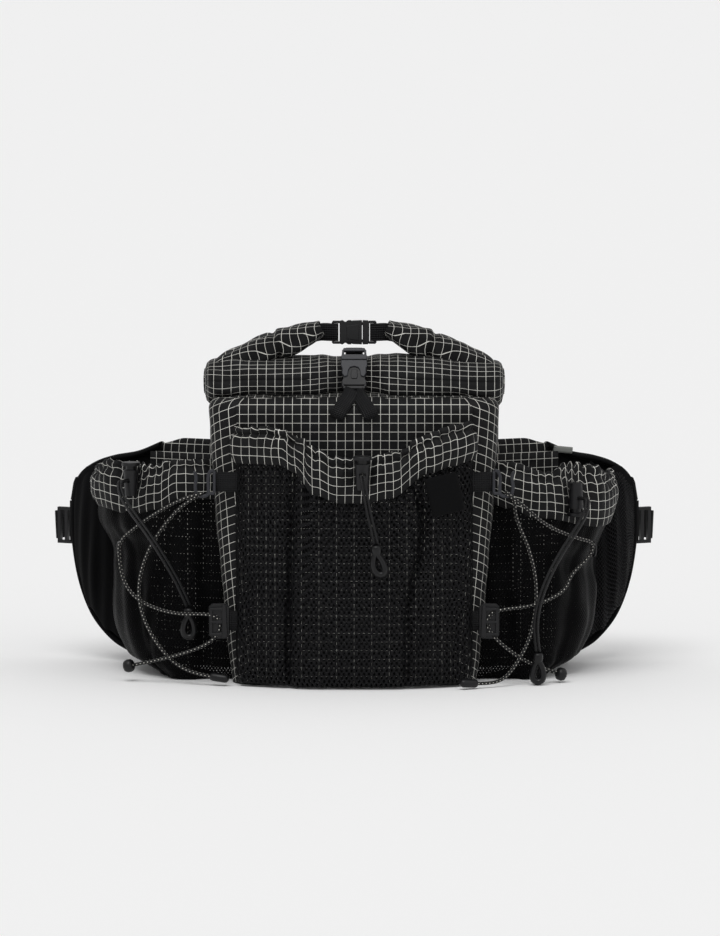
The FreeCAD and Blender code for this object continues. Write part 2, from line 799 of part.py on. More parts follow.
def ladder_blocks():
    """A plastic block on each lower tab that grips the bungee."""
    y1 = -body_depth / 2 - gap
    block = box(106.0 + gap, 124.0, y1 - 6.0, y1, block_z - 16, block_z + 15)
    block = rounded(block, 3.0, lambda e: is_along(e, V(0, 1, 0)))
    for z in (block_z - 6, block_z + 5):
        block = block.cut(box(112.0, 118.5, y1 - 10, y1 + 10, z - 2, z + 2))
    return Part.makeCompound([block, mirrored(block)])


def label_and_tab():
    """A blank woven label on the front pocket and a small pull tab above the right pocket."""
    facet = pocket_outline(-1.0)[4:6]
    slope = math.degrees(math.atan2(facet[1][1] - facet[0][1], facet[1][0] - facet[0][0]))
    label = box(4.0, 32.0, -gap - 1.2, -gap, 160.0, 192.0)
    label.rotate(V(0, 0, 0), V(0, 0, 1), slope)
    label.translate(V(facet[0][0], facet[0][1], 0))
    foot = side_pocket_height + side_rim_height + gap
    tab = wing_slab([(66, foot), (84, foot), (84, foot + 11), (66, foot + 11)], -1.5 - gap, -gap)
    return Part.makeCompound([label, tab])


bungee_right = [
    (104.0, -79.0, 4.6), (116.0, -73.0, 3.6), (128.0, -65.5, 6.5), (138.0, -58.0, 17.0),
    (150.0, -52.0, 38.0), (156.0, -48.0, 66.0), (155.5, -46.0, 92.0), (149.0, -47.0, 118.0),
    (138.0, -50.0, 142.0), (136.5, -53.5, 161.0), (129.4, -53.2, 166.5), (129.4, -63.0, 165.5),
    (142.0, -62.5, 157.0), (164.0, -50.0, 136.0), (190.0, -33.0, 124.0), (207.0, -19.0, 118.5),
    (203.0, -17.0, 106.0), (186.0, -27.0, 92.0), (182.0, -33.0, 80.0), (168.0, -42.0, 72.0),
    (148.0, -51.0, 66.5), (127.0, -60.0, 66.0), (115.0, -59.6, 62.0), (113.0, -59.6, 50.0),
    (124.0, -59.6, 37.0), (140.0, -54.0, 24.0), (158.0, -47.0, 14.0), (174.0, -42.0, 8.5),
]
bungee_left = [
    (-122.0, -60.0, 8.0), (-134.0, -57.0, 9.5), (-150.0, -50.0, 15.0), (-165.0, -43.0, 28.0),
    (-178.0, -38.0, 48.0), (-185.0, -35.0, 70.0), (-184.0, -35.0, 92.0), (-176.0, -39.0, 115.0),
    (-163.0, -44.0, 136.0), (-147.0, -50.0, 154.0), (-129.6, -52.8, 164.5),
    (-129.6, -63.0, 165.5),
    (-146.0, -61.0, 161.0), (-165.0, -49.0, 150.0), (-184.0, -35.0, 136.0),
    (-202.0, -20.0, 120.0), (-202.0, -15.5, 104.0), (-199.0, -18.0, 86.0),
    (-189.0, -26.0, 72.0), (-172.0, -38.0, 64.0), (-150.0, -50.0, 60.0), (-127.0, -60.0, 62.0),
    (-115.0, -59.6, 59.0), (-114.0, -59.6, 47.0), (-124.0, -59.6, 36.0),
    (-144.0, -54.0, 27.5), (-166.0, -46.0, 20.5), (-190.0, -36.0, 14.5),
]


def end_along(points, length, radius):
    """A moulded end on a bungee, in line with the cord's last run and just past it."""
    a = V(*points[1])
    b = V(*points[0])
    d = (b - a).normalize()
    return Part.makeCylinder(radius, length, b + d * 0.02, d)


def bungee_ends(points):
    capsule = end_along(points, 16.0, 3.6)
    toggle = end_along(points[::-1], 9.0, 5.6)
    return Part.makeCompound([capsule, toggle])


def keeper_loops():
    """A thin cord loop on each side pocket that holds the bungee's outer corner."""
    loops = []
    for x, y, z in ((206.0, -11.0, 112.0), (-202.0, -12.0, 112.0)):
        loops.append(Part.makeTorus(6.0, 0.9, V(x, y, z), V(1, 0.3, 0)))
    return Part.makeCompound(loops)


# ---- writing every node -------------------------------------------------------------------
write("base_panel", base_panel())
write("front_panel", front_panel())
write("back_panel", back_panel())
write("side_panel_left", side_panel(-1))
write("side_panel_right", side_panel(1))
write("back_pad", back_pad())
write("collar", collar())
write("roll_top", roll_bar(0.0))
for name, side in (("left", -1), ("right", 1)):
    write("roll_end_" + name, roll_end(side))
    write("handle_webbing_" + name, handle_webbing(side))
buckle_set("top", top, top_place, ("upper", "lower"))
write("closure_strap", closure_strap())
buckle_set("closure", closure, closure_place, ("right", "left"))
write("closure_webbing", closure_webbing())
write("pocket_mesh", pocket_mesh())
write("pocket_rim", pocket_rim())

front_lock = (7.0, pocket_front_y - pocket_depth - 1.0 - lock_off, 185.0)
facet_yaw = math.degrees(math.atan2(
    side_pocket_y[3] - side_pocket_y[2], side_pocket_x[3] - side_pocket_x[2]))


def side_lock_centre(share, z):
    """A lock standing off the right pocket's slanted front facet."""
    x = side_pocket_x[2] + (side_pocket_x[3] - side_pocket_x[2]) * share
    y = side_pocket_y[2] + (side_pocket_y[3] - side_pocket_y[2]) * share
    a = math.radians(facet_yaw)
    return (x + lock_off * math.sin(a), y - lock_off * math.cos(a), z)


right_lock = side_lock_centre(0.30, 157.0)
left_twin = side_lock_centre(0.34, 172.0)
left_lock = (-left_twin[0], left_twin[1], left_twin[2])
front_route = [
    (9.0, -113.0, 173.5), (12.0, -111.5, 156.0), (16.0, -108.0, 139.0), (18.5, -105.0, 127.0),
]
left_route = [
    (-199.5, -34.5, 161.0), (-190.0, -42.0, 147.0), (-175.0, -49.0, 128.0),
    (-161.0, -50.5, 106.0), (-149.0, -47.0, 84.0), (-141.5, -45.0, 66.0),
]
right_route = [
    (198.5, -35.5, 146.0), (190.0, -43.5, 132.0), (177.0, -52.0, 114.0), (165.0, -57.0, 92.0),
    (156.5, -58.5, 68.0), (154.5, -58.5, 45.0), (157.0, -58.0, 29.0),
]
lock_set("pocket", front_lock, 0.0, False)
lock_set("side_left", left_lock, -facet_yaw, False)
lock_set("side_right", right_lock, facet_yaw, True)
write("pocket_drawcord", double_cord(front_lock, 0.0, front_route, "front drawcord"))
write("side_drawcord_left", double_cord(left_lock, -facet_yaw, left_route, "left drawcord"))
write("side_drawcord_right", double_cord(right_lock, facet_yaw, right_route, "right drawcord"))
write("pocket_cord_pull", cord_pull(front_route[-1]))
write("side_cord_pull_left", cord_pull(left_route[-1]))
write("side_cord_pull_right", cord_pull(right_route[-1]))

for name, side in (("left", -1), ("right", 1)):
    write("side_pocket_" + name, side_pocket(side))
    write("side_rim_" + name, side_rim(side))
    write("wing_" + name, wing(side))
    write("belt_webbing_" + name, belt_webbing(side))
write("wing_pockets", wing_pockets())
write("tip_locks", tip_locks())
buckle_set("belt", belt, belt_place, ("upper", "lower"))
write("hook_webbing", hook_webbing())
write("gear_hooks", gear_hooks())
write("ladder_blocks", ladder_blocks())
write("label_and_tab", label_and_tab())
write("keeper_loops", keeper_loops())
write("bungee_right", tube(bungee_right, bungee_dia, "right bungee"))
write("bungee_left", tube(bungee_left, bungee_dia, "left bungee"))
write("bungee_ends_right", bungee_ends(bungee_right))
write("bungee_ends_left", bungee_ends(bungee_left))
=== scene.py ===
# %% [markdown]
# # A roll-top waist pack
# The pack is a sewn thing, so almost every piece is a sheet of cloth with a known flat pattern.
# Each sheet is made as a grid of points placed by a formula, with a second set of coordinates that
# say where every point lies on the flat cloth, in millimetres. The woven patterns use those.
# Hard pieces, such as buckles and cord locks, are small moulded solids with rounded edges.

# %% Load the frame that the pieces are fitted to
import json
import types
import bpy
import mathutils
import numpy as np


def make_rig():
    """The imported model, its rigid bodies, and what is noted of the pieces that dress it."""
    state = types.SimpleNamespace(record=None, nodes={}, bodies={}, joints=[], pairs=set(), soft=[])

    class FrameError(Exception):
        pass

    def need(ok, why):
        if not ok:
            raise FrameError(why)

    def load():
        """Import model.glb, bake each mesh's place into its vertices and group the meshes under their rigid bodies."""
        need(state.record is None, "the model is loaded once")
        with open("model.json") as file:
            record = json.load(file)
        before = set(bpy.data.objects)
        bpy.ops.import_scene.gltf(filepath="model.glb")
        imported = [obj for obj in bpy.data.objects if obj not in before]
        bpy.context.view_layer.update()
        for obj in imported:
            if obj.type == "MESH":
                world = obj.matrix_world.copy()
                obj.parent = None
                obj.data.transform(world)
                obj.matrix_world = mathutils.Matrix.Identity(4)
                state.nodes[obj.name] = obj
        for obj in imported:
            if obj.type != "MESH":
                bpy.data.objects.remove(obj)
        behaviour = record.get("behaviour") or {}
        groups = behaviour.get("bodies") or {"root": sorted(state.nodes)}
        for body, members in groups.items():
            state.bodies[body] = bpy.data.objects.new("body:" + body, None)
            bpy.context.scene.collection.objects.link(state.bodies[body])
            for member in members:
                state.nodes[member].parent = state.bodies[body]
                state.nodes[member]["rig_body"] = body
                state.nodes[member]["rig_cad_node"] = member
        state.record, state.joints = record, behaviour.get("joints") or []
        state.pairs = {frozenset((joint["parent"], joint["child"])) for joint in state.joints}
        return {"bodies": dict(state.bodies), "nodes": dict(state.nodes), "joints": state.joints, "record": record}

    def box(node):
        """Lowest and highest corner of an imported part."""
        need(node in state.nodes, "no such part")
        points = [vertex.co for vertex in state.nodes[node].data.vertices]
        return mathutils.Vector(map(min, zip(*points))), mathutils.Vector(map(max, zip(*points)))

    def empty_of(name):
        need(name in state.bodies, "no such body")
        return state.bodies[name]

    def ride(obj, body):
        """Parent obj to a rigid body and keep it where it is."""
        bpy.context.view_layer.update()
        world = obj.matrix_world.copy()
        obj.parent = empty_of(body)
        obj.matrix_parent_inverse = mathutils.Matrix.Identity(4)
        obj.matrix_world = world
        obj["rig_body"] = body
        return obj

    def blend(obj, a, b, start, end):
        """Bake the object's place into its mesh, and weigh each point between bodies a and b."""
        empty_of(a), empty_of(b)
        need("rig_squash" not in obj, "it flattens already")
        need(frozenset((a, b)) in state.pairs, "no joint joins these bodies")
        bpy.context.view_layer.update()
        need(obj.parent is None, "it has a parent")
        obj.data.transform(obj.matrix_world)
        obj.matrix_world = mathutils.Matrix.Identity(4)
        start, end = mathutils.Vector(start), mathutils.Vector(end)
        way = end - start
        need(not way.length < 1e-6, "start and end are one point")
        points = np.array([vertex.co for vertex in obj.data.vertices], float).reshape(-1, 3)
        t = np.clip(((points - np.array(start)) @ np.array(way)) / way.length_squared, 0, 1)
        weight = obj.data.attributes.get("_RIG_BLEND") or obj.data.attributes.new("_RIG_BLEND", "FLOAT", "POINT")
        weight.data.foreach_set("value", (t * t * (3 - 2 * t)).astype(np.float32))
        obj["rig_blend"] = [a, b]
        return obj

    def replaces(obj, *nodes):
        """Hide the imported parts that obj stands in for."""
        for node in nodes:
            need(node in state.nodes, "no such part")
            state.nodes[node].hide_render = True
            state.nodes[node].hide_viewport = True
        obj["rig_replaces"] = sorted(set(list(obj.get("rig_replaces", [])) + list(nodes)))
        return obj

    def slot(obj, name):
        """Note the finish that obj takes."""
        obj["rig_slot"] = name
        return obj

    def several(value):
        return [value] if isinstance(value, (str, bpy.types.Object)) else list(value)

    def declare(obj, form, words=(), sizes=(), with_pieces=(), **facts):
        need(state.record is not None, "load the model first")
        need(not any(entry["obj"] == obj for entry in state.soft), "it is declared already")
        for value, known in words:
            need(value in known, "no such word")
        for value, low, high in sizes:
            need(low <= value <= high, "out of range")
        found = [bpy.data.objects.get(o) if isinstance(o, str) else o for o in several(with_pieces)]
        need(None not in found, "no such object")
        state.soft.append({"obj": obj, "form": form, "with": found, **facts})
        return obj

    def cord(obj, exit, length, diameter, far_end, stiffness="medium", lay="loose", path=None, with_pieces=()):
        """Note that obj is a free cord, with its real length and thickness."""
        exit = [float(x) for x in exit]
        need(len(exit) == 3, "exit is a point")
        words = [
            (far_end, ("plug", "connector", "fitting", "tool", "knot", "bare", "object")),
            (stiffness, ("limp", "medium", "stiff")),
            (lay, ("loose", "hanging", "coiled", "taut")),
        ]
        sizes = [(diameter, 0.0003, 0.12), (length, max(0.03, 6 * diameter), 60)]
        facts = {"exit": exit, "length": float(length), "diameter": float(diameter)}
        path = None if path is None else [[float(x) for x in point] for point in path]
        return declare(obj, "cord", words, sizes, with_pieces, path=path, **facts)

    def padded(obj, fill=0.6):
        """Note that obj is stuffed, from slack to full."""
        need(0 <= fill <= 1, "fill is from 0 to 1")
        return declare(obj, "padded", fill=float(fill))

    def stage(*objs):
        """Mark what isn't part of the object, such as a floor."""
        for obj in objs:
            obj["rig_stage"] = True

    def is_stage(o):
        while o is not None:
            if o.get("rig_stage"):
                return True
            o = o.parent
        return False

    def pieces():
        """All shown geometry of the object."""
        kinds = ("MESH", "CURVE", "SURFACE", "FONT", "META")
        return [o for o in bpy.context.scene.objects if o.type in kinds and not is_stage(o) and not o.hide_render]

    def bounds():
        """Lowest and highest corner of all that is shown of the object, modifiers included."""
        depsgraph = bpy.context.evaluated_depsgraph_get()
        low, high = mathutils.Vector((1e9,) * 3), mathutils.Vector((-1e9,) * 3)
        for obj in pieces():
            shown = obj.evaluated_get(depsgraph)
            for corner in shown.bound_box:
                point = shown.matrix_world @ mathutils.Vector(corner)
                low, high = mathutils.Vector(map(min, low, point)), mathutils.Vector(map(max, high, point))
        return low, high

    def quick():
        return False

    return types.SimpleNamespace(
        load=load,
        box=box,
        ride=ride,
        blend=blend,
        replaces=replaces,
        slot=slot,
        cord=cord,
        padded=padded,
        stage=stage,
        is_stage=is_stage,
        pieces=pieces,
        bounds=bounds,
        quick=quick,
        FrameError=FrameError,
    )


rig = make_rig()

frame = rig.load()
import json
import math
import bmesh
import bpy
from mathutils import Vector, noise

cad_low, cad_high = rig.bounds()
MM = 0.001
print("bodies", len(frame["bodies"]), "nodes", len(frame["nodes"]))


# %% [markdown]
# ## Small tools
# Colours are written as sRGB hex values and turned to linear by one function. One more function
# adds a shader node with its settings and links, so each material below reads as a short recipe.

# %% Colour, shader node and material helpers
def linear(hex_colour):
    """An sRGB hex colour as linear RGBA."""
    values = [int(hex_colour[i:i + 2], 16) / 255 for i in (1, 3, 5)]
    return tuple(c / 12.92 if c <= 0.04045 else ((c + 0.055) / 1.055) ** 2.4 for c in values) + (1.0,)


def add(tree, kind, inputs=(), **settings):
    """Adds a node, sets what settings name, and fills or links its inputs."""
    made = tree.nodes.new(kind)
    for key, value in settings.items():
        setattr(made, key, value)
    for key, value in dict(inputs).items():
        if isinstance(value, bpy.types.NodeSocket):
            tree.links.new(value, made.inputs[key])
        else:
            made.inputs[key].default_value = value
    return made


def new_material(name):
    """A material with a Principled shader, its tree, and the shader."""
    material = bpy.data.materials.new(name)
    material.use_nodes = True
    tree = material.node_tree
    return material, tree, tree.nodes["Principled BSDF"]


def bump(tree, shader, height, distance, strength):
    """Feeds a height, whose full range stands for distance in metres, into the shader's normal."""
    made = add(tree, "ShaderNodeBump", {"Height": height, "Distance": distance, "Strength": strength})
    tree.links.new(made.outputs[0], shader.inputs["Normal"])


def tint(tree, shader, share, low_hex, high_hex):
    """Colours the shader from one hex colour to another as share goes from 0 to 1."""
    colour = add(tree, "ShaderNodeMix", {0: share, 6: linear(low_hex), 7: linear(high_hex)},
                 data_type="RGBA")
    tree.links.new(colour.outputs[2], shader.inputs["Base Color"])


def surface(shader, **constants):
    """Sets constants on the shader; an underscore in a name stands for a space."""
    for key, value in constants.items():
        shader.inputs[key.replace("_", " ")].default_value = value


print("mid grey #808080 is", round(linear("#808080")[0], 3), "in linear light")


# %% [markdown]
# ## The cloths
# Ripstop is a thin plain weave with thicker threads laid in a square grid, here every 7.5 mm in
# white on black. The grid is drawn from the flat-cloth coordinates, so it bends, shears and
# gathers with the sheet as a real woven thread does.

# %% Grid ripstop
GRID_PITCH = 7.5          # mm between reinforcing threads
GRID_THREAD = 0.70        # mm, the width of a bundled white thread as it shows


def cloth_axes(tree):
    """The flat-cloth coordinates in millimetres, as two sockets."""
    flat = add(tree, "ShaderNodeUVMap", uv_map="cloth")
    parts = add(tree, "ShaderNodeSeparateXYZ", {0: flat.outputs[0]})
    return flat.outputs[0], parts.outputs[0], parts.outputs[1]


def thread_lines(tree, along, pitch, width):
    """1 on lines that repeat every pitch mm across the cloth, 0 between them."""
    cell = add(tree, "ShaderNodeMath", {0: along, 1: pitch}, operation="PINGPONG")
    edge = add(tree, "ShaderNodeMapRange", {0: cell.outputs[0], 1: width * 0.75, 2: width * 0.3},
               interpolation_type="SMOOTHSTEP")
    return edge.outputs[0]


def grid_ripstop():
    """Black coated nylon ripstop: a soft low sheen, with matt white threads a little proud of it."""
    material, tree, shader = new_material("ripstop_grid_nylon")
    flat, across, along = cloth_axes(tree)
    lines = [thread_lines(tree, axis, GRID_PITCH / 2, GRID_THREAD / 2) for axis in (across, along)]
    grid = add(tree, "ShaderNodeMath", {0: lines[0], 1: lines[1]}, operation="MAXIMUM")
    wear = add(tree, "ShaderNodeTexNoise", {"Vector": flat, "Scale": 0.09, "Detail": 3.0})
    thread = add(tree, "ShaderNodeMix", {0: wear.outputs[0], 6: linear("#c4c3bb"), 7: linear("#fbfaf4")},
                 data_type="RGBA")
    ground = add(tree, "ShaderNodeMix", {0: wear.outputs[0], 6: linear("#0c0c0d"), 7: linear("#1a1a1b")},
                 data_type="RGBA")
    colour = add(tree, "ShaderNodeMix",
                 {0: grid.outputs[0], 6: ground.outputs[2], 7: thread.outputs[2]}, data_type="RGBA")
    tree.links.new(colour.outputs[2], shader.inputs["Base Color"])
    surface(shader, Roughness=0.6, Specular_IOR_Level=0.12, Sheen_Weight=0.02)
    weave = add(tree, "ShaderNodeTexNoise", {"Vector": flat, "Scale": 1.4, "Detail": 2.0})
    crumple = add(tree, "ShaderNodeTexNoise", {"Vector": flat, "Scale": 0.11, "Detail": 4.0,
                                               "Distortion": 0.6})
    height = add(tree, "ShaderNodeMath", {0: weave.outputs[0], 1: 0.12, 2: crumple.outputs[0]},
                 operation="MULTIPLY_ADD")
    raised = add(tree, "ShaderNodeMath", {0: grid.outputs[0], 1: 0.10, 2: height.outputs[0]},
                 operation="MULTIPLY_ADD")
    bump(tree, shader, raised.outputs[0], 0.0025, 0.55)
    return material


ripstop = grid_ripstop()
print("made", ripstop.name)


# %% [markdown]
# Knitted mesh is a cloth of open cells. Holes cut into the geometry would take millions of faces.
# Instead the cells are cut out by alpha from a staggered lattice in flat-cloth millimetres, so what
# lies behind shows through, and the yarn keeps a slight shine.

# %% Open knitted mesh
def staggered_holes(tree, across, along, pitch, hole):
    """1 in the yarn and 0 inside the holes of a staggered lattice; sizes in mm."""
    distances = []
    for shift in (0.0, 0.5):
        axes = []
        for axis, step, size in ((across, pitch[0], hole[0]), (along, pitch[1], hole[1])):
            turns = add(tree, "ShaderNodeMath", {0: axis, 1: 1 / step, 2: shift}, operation="MULTIPLY_ADD")
            part = add(tree, "ShaderNodeMath", {0: turns.outputs[0]}, operation="FRACT")
            offset = add(tree, "ShaderNodeMath", {0: part.outputs[0], 1: 0.5}, operation="SUBTRACT")
            scaled = add(tree, "ShaderNodeMath", {0: offset.outputs[0], 1: step / size},
                         operation="MULTIPLY")
            axes.append(scaled.outputs[0])
        joined = add(tree, "ShaderNodeCombineXYZ", {0: axes[0], 1: axes[1]})
        away = add(tree, "ShaderNodeVectorMath", {0: joined.outputs[0]}, operation="LENGTH")
        distances.append(away.outputs["Value"])
    nearest = add(tree, "ShaderNodeMath", {0: distances[0], 1: distances[1]}, operation="MINIMUM")
    yarn = add(tree, "ShaderNodeMapRange", {0: nearest.outputs[0], 1: 0.88, 2: 1.1})
    return yarn.outputs[0], nearest.outputs[0]


def knitted_mesh(name, pitch, hole, yarn_hex, gloss=0.14):
    """Black polyester mesh with holes of the given half sizes, in mm."""
    material, tree, shader = new_material(name)
    flat, across, along = cloth_axes(tree)
    yarn, depth = staggered_holes(tree, across, along, pitch, hole)
    shade = add(tree, "ShaderNodeTexNoise", {"Vector": flat, "Scale": 0.5, "Detail": 2.0})
    tint(tree, shader, shade.outputs[0], "#050506", yarn_hex)
    tree.links.new(yarn, shader.inputs["Alpha"])
    surface(shader, Roughness=0.42, Specular_IOR_Level=gloss)
    round_yarn = add(tree, "ShaderNodeMath", {0: depth, 1: 1.8}, operation="MINIMUM")
    bump(tree, shader, round_yarn.outputs[0], 0.0009, 0.8)
    return material


pocket_net = knitted_mesh("polyester_mesh_coarse", (4.4, 6.2), (0.91, 1.42), "#151517", 0.11)
side_net = knitted_mesh("polyester_mesh_fine", (2.8, 4.0), (0.42, 0.72), "#0d0d0e", 0.05)
print("made", pocket_net.name, side_net.name)


# %% [markdown]
# Stretch cloth, webbing and braided cord are all yarn goods. The stretch cloth is brushed, so it is
# matt and very dark, with a faint nap. Hair strands could make a real pile, but from this far noise
# in the colour and the bump gives the same soft look.

# %% Soft black cloth
def soft_black_cloth():
    """Brushed black stretch cloth: matt, with a faint nap and long soft wrinkles."""
    material, tree, shader = new_material("stretch_cloth_black")
    flat = cloth_axes(tree)[0]
    nap = add(tree, "ShaderNodeTexNoise", {"Vector": flat, "Scale": 0.9, "Detail": 5.0})
    tint(tree, shader, nap.outputs[0], "#060607", "#0f0f10")
    surface(shader, Roughness=0.8, Specular_IOR_Level=0.07, Sheen_Weight=0.02)
    bump(tree, shader, nap.outputs[0], 0.0008, 0.5)
    return material


black_cloth = soft_black_cloth()
print("made", black_cloth.name)


# %% [markdown]
# Webbing is a flat woven tape: ribs run across it, in columns, and each one catches a thin light.
# Each rib could be modelled, at the price of thousands of loops. Two repeating ramps, one along the
# tape and one across it, give ribs that keep their real size on every strap. The same ramps colour
# each rib's crest lighter and the hollows between ribs darker, as a painted highlight and painted shade.

# %% Webbing
def nylon_webbing():
    """Woven nylon tape: fine ribs across it, a satin shine on each rib, with a painted highlight on each rib's crest
    and painted shade between ribs.
    """
    material, tree, shader = new_material("nylon_webbing_black")
    across, along = cloth_axes(tree)[1:]
    rib = add(tree, "ShaderNodeMath", {0: along, 1: 0.75}, operation="PINGPONG")
    column = add(tree, "ShaderNodeMath", {0: across, 1: 0.95}, operation="PINGPONG")
    height = add(tree, "ShaderNodeMath", {0: column.outputs[0], 1: 0.9, 2: rib.outputs[0]},
                 operation="MULTIPLY_ADD")
    # painted light: the tape is coloured lighter on each rib's crest and darker in the hollows, as a painted highlight
    # and painted shade
    shade = add(tree, "ShaderNodeMapRange", {0: height.outputs[0], 1: 0.2, 2: 1.5})
    tint(tree, shader, shade.outputs[0], "#050506", "#18181a")
    surface(shader, Roughness=0.45, Specular_IOR_Level=0.2)
    bump(tree, shader, height.outputs[0], 0.0006, 0.9)
    return material


webbing = nylon_webbing()
print("made", webbing.name)


# %% [markdown]
# A braid's strands cross in two lays. The bungee has a second, pale yarn that shows as flecks. Two
# slanted ramps, one each way round the cord, make the lays, and the higher of the two shows.

# %% Braided cords
def braided_cord(name, ground_hex, fleck_hex, pitch, fleck, roughness=0.6):
    """A round braid: strands cross in a fine lattice, and short flecks of a second yarn, of the
    given half sizes in mm, stand staggered round it."""
    material, tree, shader = new_material(name)
    across, along = cloth_axes(tree)[1:]
    lays = []
    for turn in (1.0, -1.0):
        slant = add(tree, "ShaderNodeMath", {0: across, 1: turn, 2: along}, operation="MULTIPLY_ADD")
        strand = add(tree, "ShaderNodeMath", {0: slant.outputs[0], 1: 0.9}, operation="PINGPONG")
        lays.append(strand.outputs[0])
    height = add(tree, "ShaderNodeMath", {0: lays[0], 1: lays[1]}, operation="MAXIMUM")
    ground = staggered_holes(tree, across, along, pitch, fleck)[0]
    tint(tree, shader, ground, fleck_hex, ground_hex)
    surface(shader, Roughness=roughness, Specular_IOR_Level=0.3)
    bump(tree, shader, height.outputs[0], 0.0004, 0.8)
    return material


bungee_braid = braided_cord("bungee_braid_flecked", "#121213", "#c9c7bf", (4.71, 3.5), (0.45, 0.52))
thin_braid = braided_cord("drawcord_braid_black", "#0a0a0b", "#1a1a1c", (2.5, 2.0), (0.4, 0.5), 0.36)
print("made", bungee_braid.name, thin_braid.name)


# %% [markdown]
# Buckles and cord locks are injection-moulded acetal: a dense plastic, dark grey-black with a satin
# skin from the tool. The cord pulls are a soft rubbery plastic, smoother and a little glossier.

# %% Moulded plastics
def moulded(name, base_hex, edge_hex, roughness, grain):
    """A moulded plastic with a fine tool grain and slightly paler wear on broad faces."""
    material, tree, shader = new_material(name)
    place = add(tree, "ShaderNodeTexCoord").outputs["Object"]
    cloud = add(tree, "ShaderNodeTexNoise", {"Vector": place, "Scale": 60.0, "Detail": 3.0})
    tint(tree, shader, cloud.outputs[0], base_hex, edge_hex)
    rough = add(tree, "ShaderNodeMapRange", {0: cloud.outputs[0], 3: roughness - 0.06, 4: roughness + 0.08})
    tree.links.new(rough.outputs[0], shader.inputs["Roughness"])
    surface(shader, IOR=1.48, Specular_IOR_Level=0.34)
    skin = add(tree, "ShaderNodeTexNoise", {"Vector": place, "Scale": grain, "Detail": 2.0})
    bump(tree, shader, skin.outputs[0], 0.00012, 0.5)
    return material


acetal = moulded("acetal_satin_black", "#0c0c0e", "#141416", 0.36, 2500.0)
acetal_grey = moulded("acetal_satin_graphite", "#232428", "#303136", 0.34, 2500.0)
rubber_pull = moulded("soft_pvc_black", "#070708", "#0e0e10", 0.3, 1200.0)
tab_grey = moulded("silicone_tab_grey", "#6a6c69", "#80827e", 0.4, 1200.0)
print("made", acetal.name, acetal_grey.name, rubber_pull.name)


# %% [markdown]
# Spacer mesh is a thick double knit over the foam. It is closed, with rows of dimples, so it reuses
# the lattice of the open mesh and colours the holes near black, as painted shade, instead of cutting them out.

# %% Spacer mesh
def spacer_mesh():
    """Thick spacer mesh over foam: closed, with rows of small dimples darkened as painted shade."""
    material, tree, shader = new_material("spacer_mesh_black")
    across, along = cloth_axes(tree)[1:]
    yarn = staggered_holes(tree, across, along, (3.4, 3.4), (0.8, 0.8))[0]
    # painted shade: the dimples are coloured near black, for the shade inside them
    tint(tree, shader, yarn, "#060607", "#222224")
    surface(shader, Roughness=0.8, Sheen_Weight=0.2)
    bump(tree, shader, yarn, 0.0010, 0.9)
    return material


spacer = spacer_mesh()
print("made", spacer.name)


# %% [markdown]
# ## Making pieces
# The frame has bodies that move and CAD nodes that stand in for what is seen. Each finished piece
# says which body it rides on and which nodes it replaces. A strap or sleeve that joins two bodies
# can't ride on either, so it bends between them.

# %% Finishing a piece
WORD = {1: "right", -1: "left"}


def finish_piece(obj, body, material, nodes, slot, smooth=True):
    """Gives a piece its material, its body, the CAD nodes that it stands for and its slot."""
    obj.data.materials.append(material)
    obj.data.polygons.foreach_set("use_smooth", [smooth] * len(obj.data.polygons))
    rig.ride(obj, body)
    if nodes:
        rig.replaces(obj, *nodes)
    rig.slot(obj, slot)
    return obj


def bend_piece(obj, material, nodes, slot, moving, start, end):
    """Like finish_piece, for a piece that bends from the pack to a moving body between two places."""
    obj.data.materials.append(material)
    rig.replaces(obj, *nodes)
    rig.slot(obj, slot)
    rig.blend(obj, "pack", moving, start, end)
    return obj


print("sides", *WORD.values())


# %% [markdown]
# `sheet_of` lays a grid of points where `place(u, v)` says, and records `flat(u, v)` as the cloth
# coordinates. A plane bent by modifiers would be quicker to set up, but it couldn't say where each
# point lies on the flat cloth. A Solidify modifier then gives the cloth its thickness.

# %% Sheets of cloth
def mesh_object(name, points, faces, flats=None):
    """A mesh from points in mm; flats holds each face's cloth coordinates in mm."""
    mesh = bpy.data.meshes.new(name)
    mesh.from_pydata([(x * MM, y * MM, z * MM) for x, y, z in points], [], faces)
    layer = mesh.uv_layers.new(name="cloth")
    if flats:
        at = 0
        for face_flats in flats:
            for uv in face_flats:
                layer.data[at].uv = uv
                at += 1
    mesh.update()
    obj = bpy.data.objects.new(name, mesh)
    bpy.context.scene.collection.objects.link(obj)
    return obj


def sheet_of(name, nu, nv, place, flat, closed_u=False):
    """A grid of nu by nv cells. place and flat take u and v from 0 to 1."""
    points = []
    columns = nu if closed_u else nu + 1
    for j in range(nv + 1):
        for i in range(columns):
            points.append(place(i / nu, j / nv))
    faces, flats = [], []
    for j in range(nv):
        for i in range(nu):
            i1 = (i + 1) % columns
            faces.append((j * columns + i, j * columns + i1, (j + 1) * columns + i1, (j + 1) * columns + i))
            corners = ((i, j), (i + 1, j), (i + 1, j + 1), (i, j + 1))
            flats.append([flat(a / nu, b / nv) for a, b in corners])
    return mesh_object(name, points, faces, flats)


def thicken(obj, mm):
    """Gives a sheet its thickness, half to each side."""
    solid = obj.modifiers.new("thickness", "SOLIDIFY")
    solid.thickness = mm * MM
    solid.offset = 0.0
    solid.use_rim = True
    return obj


print("sheet helpers ready")


# %% [markdown]
# Folds could be sculpted, but formulas can be read and changed. Shapes below are sums of three
# simple functions: a smooth step, a bump, and a seeded noise that always gives the same folds.

# %% Shaping functions
def ease(t):
    """Smooth 0 to 1 step."""
    t = min(1.0, max(0.0, t))
    return t * t * (3 - 2 * t)


def bell(x, centre, width):
    """A smooth bump of height 1."""
    return math.exp(-((x - centre) / width) ** 2)


